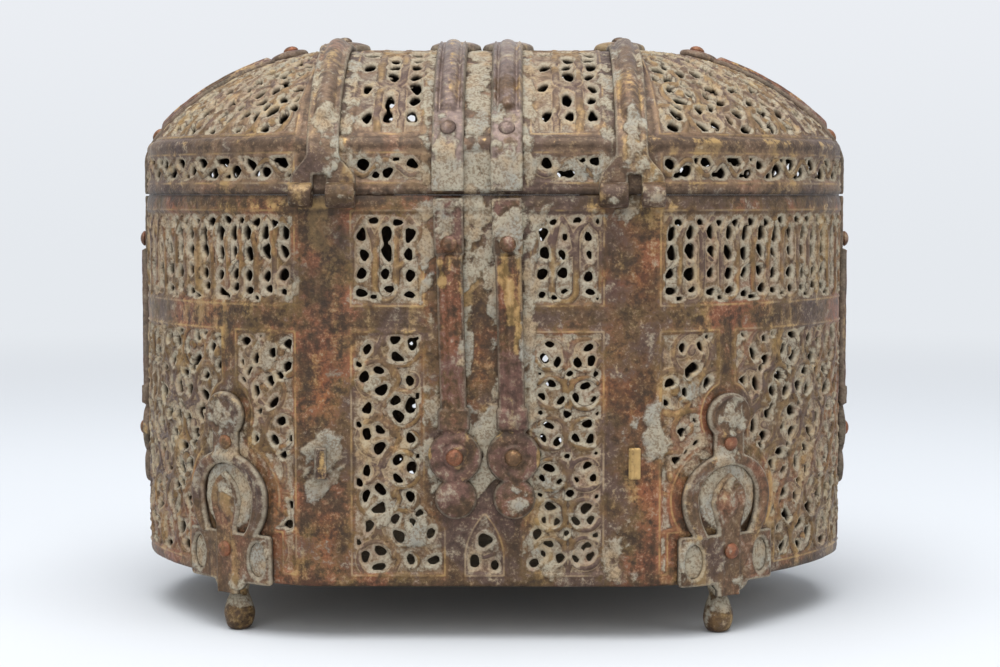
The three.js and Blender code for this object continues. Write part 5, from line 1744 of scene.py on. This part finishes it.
def old_bronze(
    name,
    red=0.5,
    purple=0.5,
    gold=0.5,
    pale=1.0,
    streaks=0.6,
    dust=0.2,
    seed=0,
    way=UPRIGHT,
    dusk=PURPLE,
    gloss=0.0,
    soot=1.0,
    veil=0.0,
    flank_shade=0.0,
):
    """Cast bronze with its patina. The numbers say how much of each kind of skin it has."""
    p = Paint(name)
    p.surface.inputs["Specular IOR Level"].default_value = 0.3
    metal, near, ground = p.field("metal"), p.field("near"), p.field("ground")
    crust, crest, inner, gilt = p.field("crust"), p.field("crest"), p.field("inner"), p.field("gilt")
    border, shade, warm = p.field("border"), p.field("shade"), p.field("warm")
    broad = p.noise(40, seed + 1, 2, 0.5)
    wide = p.noise(18, seed + 2, 4, 0.6, warp=0.5)
    blot = p.noise(9, seed + 3, 6, 0.66)
    fine = p.noise(2.8, seed + 4, 5, 0.64)
    grain = p.noise(0.8, seed + 5, 3, 0.6)
    brushed = p.noise(3.6, seed + 6, 4, 0.65, stretch=way)
    smear = p.noise(11, seed + 7, 4, 0.55, stretch=way)
    speckle = p.plus(p.scaled(fine, 0.55, -0.28), p.scaled(grain, 0.2, -0.1))

    # The bare metal: brown and olive, then red, rusty, warm, veiled, purple, golden and dark places.
    colour = p.blend(p.level(p.plus(wide, speckle), 0.38, 0.66), BROWN, OLIVE)
    reddish = p.level(p.plus(broad, p.scaled(blot, 0.9, -0.45), speckle), 0.6 - 0.2 * red, 0.84 - 0.2 * red)
    colour = p.blend(p.times(reddish, 0.85), colour, RED)
    rusty = p.times(reddish, p.level(p.plus(blot, p.scaled(speckle, 1.5)), 0.5, 0.72))
    colour = p.blend(p.times(rusty, 0.55), colour, RUST)
    warmed = p.times(warm, p.level(p.plus(blot, p.scaled(speckle, 1.2)), 0.3, 0.6))
    colour = p.blend(p.times(warmed, 0.85), colour, p.blend(p.level(fine, 0.4, 0.64), RUST, AMBER))
    if veil:
        colour = p.blend(p.level(fine, 0.2, 0.8, 0.7 * veil, 1.3 * veil), colour, VEIL)
    violet = p.plus(wide, p.scaled(broad, -0.7, 0.35), p.scaled(blot, 0.5, -0.25), speckle)
    colour = p.blend(p.times(p.level(violet, 0.6 - 0.2 * purple, 0.78 - 0.2 * purple), 0.9), colour, dusk)
    golden = p.level(p.plus(smear, p.scaled(speckle, 0.6)), 0.68 - 0.13 * gold, 0.76 - 0.13 * gold)
    colour = p.blend(p.times(golden, 0.55 * gold), colour, GOLD)
    colour = p.blend(p.times(p.level(p.plus(brushed, speckle), 0.52, 0.26), streaks), colour, DEEP)
    colour = p.blend(p.level(p.plus(fine, p.scaled(blot, 0.4, -0.2)), 0.52, 0.3, 0.0, 0.55), colour, DEEP)
    plain = p.level(border, -0.9, -2.4)
    gloom = p.level(p.plus(wide, p.scaled(blot, 0.8, -0.4), speckle), 0.62, 0.36, 0.12, 0.62)
    colour = p.blend(p.times(plain, gloom, soot), colour, DEEP)
    dusted = p.plus(blot, p.scaled(speckle, 1.6), p.scaled(wide, 0.5, -0.25))
    dusted = p.level(dusted, 0.66 - 0.32 * dust, 1.0 - 0.4 * dust)
    colour = p.blend(p.times(dusted, 0.8), colour, p.blend(p.level(fine, 0.4, 0.62), SAND, PALE))
    colour = p.blend(p.level(p.plus(grain, p.scaled(fine, 0.8, -0.4)), 0.54, 0.74, 0.0, 0.3), colour, SAND)

    # The carving: soil in the sunk ground and round the holes, painted shade and soil in the grooves, and
    # painted highlights on the ridges.
    stem = p.level(near, 0.15, -0.3)
    colour = p.blend(p.times(ground, stem, 0.5), colour, p.blend(p.level(wide, 0.4, 0.6), OLIVE, PURPLE))
    hollow = p.times(ground, p.level(near, -0.1, 0.35))
    rim = p.level(metal, 1.15, 0.1)
    soil = p.plus(p.times(hollow, 0.26), p.times(rim, 0.75), p.times(ground, 0.1))
    soil = p.plus(soil, p.scaled(speckle, 1.3), p.scaled(blot, 1.3, -0.65))
    soiled = p.times(p.level(soil, 0.1, 0.62), pale)
    earth = p.blend(p.level(wide, 0.46, 0.68), PALE, p.blend(p.level(blot, 0.38, 0.6), PINK, SAND))
    earth = p.blend(p.level(grain, 0.6, 0.34, 0.0, 0.7), earth, BROWN)
    earth = p.blend(p.times(rim, p.level(fine, 0.34, 0.6), 0.55), earth, CHALK)
    colour = p.blend(p.times(soiled, 0.85), colour, earth)
    # Painted shade on the flanks and edges of the castings.
    if flank_shade:
        flank_shading = p.times(p.level(metal, 1.5, 0.3), p.level(fine, 0.2, 0.6, 1.0, 0.6), flank_shade)
        colour = p.blend(flank_shading, colour, DEEP)
    # Painted shade, with some soil, in the incised grooves beside the stems.
    groove = p.times(ground, p.level(near, -0.12, 0.1), p.level(near, 0.5, 0.16))
    groove = p.times(groove, p.level(blot, 0.3, 0.6, 0.3, 0.7))
    colour = p.blend(groove, colour, p.blend(p.level(p.plus(wide, speckle), 0.42, 0.56), DEEP, SAND))
    # Painted highlights in gold or sand on the ridges of the stems and on the beads round the panels.
    spine = p.times(ground, p.level(near, -0.35, -0.7), p.level(p.plus(blot, speckle), 0.4, 0.6))
    line = p.times(p.level(border, -1.05, -0.65), p.level(border, -0.1, -0.45), p.level(blot, 0.4, 0.6))
    for ridge, amount in ((spine, 0.35), (line, 0.6)):
        colour = p.blend(p.times(ridge, amount), colour, p.blend(p.level(wide, 0.44, 0.6), GOLD, SAND))

    # On top of all: crests rubbed to gold that also serve as painted highlights, golden smears, caked earth,
    # painted shade of the corners with darker patches, and the inside painted dark as shade.
    # Crests rubbed to gold, which also serve as painted highlights.
    rubbed_and_highlight = p.level(p.plus(smear, p.scaled(speckle, 0.8)), 0.62 - 0.12 * gold, 0.72 - 0.12 * gold)
    rubbed_and_highlight = p.times(rubbed_and_highlight, p.level(crest, -0.4, 0.7))
    colour = p.blend(p.times(rubbed_and_highlight, 0.8), colour, GOLD)
    gilded = p.level(p.plus(gilt, p.scaled(speckle, 0.9), p.scaled(blot, 0.5, -0.25)), 0.36, 0.62)
    colour = p.blend(p.times(gilded, 0.75), colour, p.blend(p.level(fine, 0.4, 0.6), OLIVE, GOLD))
    caked_on = p.level(p.plus(crust, p.scaled(speckle, 0.8), p.scaled(blot, 0.5, -0.25)), 0.34, 0.56)
    cake = p.blend(p.level(blot, 0.4, 0.6), PALE, p.blend(p.level(wide, 0.42, 0.6), GREY, SAND))
    cake = p.blend(p.level(p.plus(grain, p.scaled(fine, 0.6, -0.3)), 0.58, 0.36, 0.0, 0.75), cake, LOAM)
    colour = p.blend(p.times(caked_on, 0.9), colour, cake)
    # Painted shade from the shade field at the seam and beside the lid's moulding, together with the darker
    # patches low on the wall, on its bands and on the straps.
    colour = p.blend(p.times(shade, p.level(fine, 0.3, 0.6, 0.85, 0.6)), colour, DEEP)
    # The inside faces are painted dark as shade, with a little mottling.
    inside_shade = p.blend(p.level(p.plus(wide, speckle), 0.36, 0.66), INSIDE_SHADE, UMBER)
    inside_shade = p.blend(p.level(p.plus(blot, speckle), 0.6, 0.8, 0.0, 0.7), inside_shade, DUST)
    colour = p.blend(p.times(inner, 0.95), colour, inside_shade)

    p.put(p.surface.inputs["Base Color"], colour)
    earthy = p.math("MAXIMUM", soiled, caked_on)
    p.put(p.surface.inputs["Metallic"], p.scaled(earthy, -0.3, 0.32))
    rough = p.plus(p.scaled(earthy, 0.3 + gloss, 0.5 - gloss), p.scaled(rubbed_and_highlight, -0.14))
    rough = p.plus(rough, p.scaled(fine, 0.2, -0.1))
    p.put(p.surface.inputs["Roughness"], rough)
    height = p.plus(p.scaled(fine, 0.7), p.scaled(grain, 0.4), p.times(soiled, 0.35), p.times(caked_on, 0.8))
    bump = p.tree.nodes.new("ShaderNodeBump")
    bump.inputs["Strength"].default_value = 0.7
    bump.inputs["Distance"].default_value = 0.0006
    p.put(bump.inputs["Height"], height)
    p.put(p.surface.inputs["Normal"], bump.outputs[0])
    return p.material


skins = {
    "pierced_wall": old_bronze("wall bronze", 0.7, 0.6, 0.6, 1.0, 0.3, 0.25, 1, gloss=0.05),
    "pierced_lid": old_bronze("lid bronze", 0.2, 0.9, 0.5, 0.9, 0.2, 0.4, 21, veil=0.4),
    "straps": old_bronze(
        "strap bronze", 0.75, 1.0, 0.3, 0.5, 0.1, 0.3, 43, dusk=WINE, gloss=0.08, soot=0.9, flank_shade=0.6
    ),
    "foot_mounts": old_bronze(
        "mount bronze", 0.7, 0.9, 0.5, 0.8, 0.1, 0.5, 61, soot=0.6, veil=0.2, flank_shade=0.3
    ),
    "feet": old_bronze("foot bronze", 0.1, 0.3, 0.9, 0.25, 0.6, 0.15, 81),
    "rivets": old_bronze("rivet copper", 1.5, 0.0, 0.3, 0.3, 0.1, 0.1, 101, soot=0.2),
    "hinge_pins": old_bronze("pin bronze", 0.2, 0.8, 0.3, 0.3, 0.4, 0.2, 121),
    "staples": old_bronze("staple brass", -0.5, 0.0, 2.2, 0.1, 0.1, 0.1, 141, soot=0.2),
    "base": old_bronze("base bronze", 0.2, 0.5, 0.1, 0.6, 0.4, 0.3, 161),
}
own_skins = {
    "lid_strap_outer": old_bronze(
        "sandy strap bronze", 0.2, 0.9, 0.9, 0.5, 0.1, 0.45, 181, OVER_THE_LID,
        gloss=0.08, soot=0.6, veil=0.4, flank_shade=0.35,
    ),
    "lid_strap_centre": old_bronze(
        "purple strap bronze", 0.3, 1.5, 0.5, 0.5, 0.0, 0.4, 201, OVER_THE_LID, MAUVE, 0.16, 0.4, flank_shade=0.5
    ),
    "knuckle": old_bronze("knuckle bronze", 0.5, 0.8, 0.7, 0.5, 0.3, 0.4, 221),
    "hasp_staple_left": old_bronze("dull staple bronze", 0.1, 0.8, 0.3, 0.5, 0.3, 0.5, 241, veil=0.3),
}
node_slots = {entry["node"]: entry["material_slot"] for entry in frame["record"]["subparts"]}
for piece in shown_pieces():
    skin = skins[piece.get("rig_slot") or node_slots[piece.name]]
    if "_rivet_top" in piece.name:
        skin = skins["straps"]
    for start, own in own_skins.items():
        if piece.name.startswith(start):
            skin = own
    piece.data.materials.clear()
    piece.data.materials.append(skin)

# %% [markdown]
# ## The studio
# The casket stands on pale seamless paper under soft light: a broad lamp overhead, a weaker one in
# front on the left, the weakest on the right and a soft grey surround. Far from the casket the
# paper glows evenly, like the ground of the photograph.

# %% Studio
BACKDROP, SOFT_GREY = tone(233, 237, 242), (0.9, 0.95, 1.0, 1)
FLOOR_PAPER, LOW_PAPER, HIGH_PAPER = tone(206, 209, 213), tone(229, 233, 238), tone(235, 238, 243)
GLOW_FROM, GLOW_TO = 0.4, 1.5


def surround():
    """World light: the backdrop's tint for the camera and reflections, and a softer grey as light."""
    world = bpy.data.worlds.new("studio")
    bpy.context.scene.world = world
    world.use_nodes = True
    tree = world.node_tree
    seen = tree.nodes["Background"]
    lit = tree.nodes.new("ShaderNodeBackground")
    for node, colour, strength in ((seen, BACKDROP, 1.0), (lit, SOFT_GREY, 0.42)):
        node.inputs["Color"].default_value = colour
        node.inputs["Strength"].default_value = strength
    path = tree.nodes.new("ShaderNodeLightPath")
    choice = tree.nodes.new("ShaderNodeMixShader")
    seen_by = path.outputs["Is Camera Ray"]
    for ray in ("Is Glossy Ray", "Is Transmission Ray"):
        either = tree.nodes.new("ShaderNodeMath")
        either.operation = "MAXIMUM"
        tree.links.new(seen_by, either.inputs[0])
        tree.links.new(path.outputs[ray], either.inputs[1])
        seen_by = either.outputs[0]
    tree.links.new(seen_by, choice.inputs[0])
    tree.links.new(lit.outputs[0], choice.inputs[1])
    tree.links.new(seen.outputs[0], choice.inputs[2])
    tree.links.new(choice.outputs[0], tree.nodes["World Output"].inputs[0])


def lamp(name, place, aim, size, power):
    """A square soft lamp at a place, turned towards another, in metres."""
    data = bpy.data.lights.new(name, "AREA")
    data.size = size
    data.energy = power
    soft = placed(name, data)
    soft.location = place
    soft.rotation_euler = (Vector(aim) - Vector(place)).to_track_quat("-Z", "Y").to_euler()


def sweep():
    """A seamless ground: a floor that curves up into a backdrop far behind."""
    depth, bend, steps, half_width, front, top = 1.6, 1.2, 24, 9.0, -6.0, 7.0
    line = [(front, 0.0), (depth, 0.0)]
    turns = np.linspace(0, math.pi / 2, steps)[1:]
    line += [(depth + bend * math.sin(a), bend * (1 - math.cos(a))) for a in turns]
    line.append((depth + bend, top))
    verts = [(x, y, z) for y, z in line for x in (-half_width, half_width)]
    faces = [(2 * k, 2 * k + 1, 2 * k + 3, 2 * k + 2) for k in range(len(line) - 1)]
    mesh = bpy.data.meshes.new("ground")
    mesh.from_pydata(verts, [], faces)
    mesh.shade_smooth()
    ground = placed("ground", mesh)
    p = Paint("paper")
    split = p.tree.nodes.new("ShaderNodeSeparateXYZ")
    p.put(split.inputs[0], p.place)
    x, y, z = (split.outputs[axis] for axis in "XYZ")
    away = p.math("POWER", p.plus(p.times(x, x), p.times(y, y)), 0.5)
    far = p.level(away, GLOW_FROM, GLOW_TO)
    p.put(p.surface.inputs["Base Color"], p.blend(far, FLOOR_PAPER, (0, 0, 0, 1)))
    p.put(p.surface.inputs["Emission Color"], p.blend(p.level(z, 0.0, 0.5), LOW_PAPER, HIGH_PAPER))
    p.put(p.surface.inputs["Emission Strength"], far)
    p.surface.inputs["Specular IOR Level"].default_value = 0.0
    p.surface.inputs["Roughness"].default_value = 0.9
    ground.data.materials.append(p.material)
    ground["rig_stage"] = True


surround()
sweep()
lamp("overhead", (-0.1, -0.5, 1.7), (0, 0, 0.1), 1.6, 38)
lamp("front", (-0.5, -1.9, 0.9), (0, 0, 0.1), 1.4, 13)
lamp("right", (1.6, -0.9, 0.8), (0, 0, 0.1), 1.0, 6)

# %% Finish
bpy.context.scene.view_settings.view_transform = "Standard"
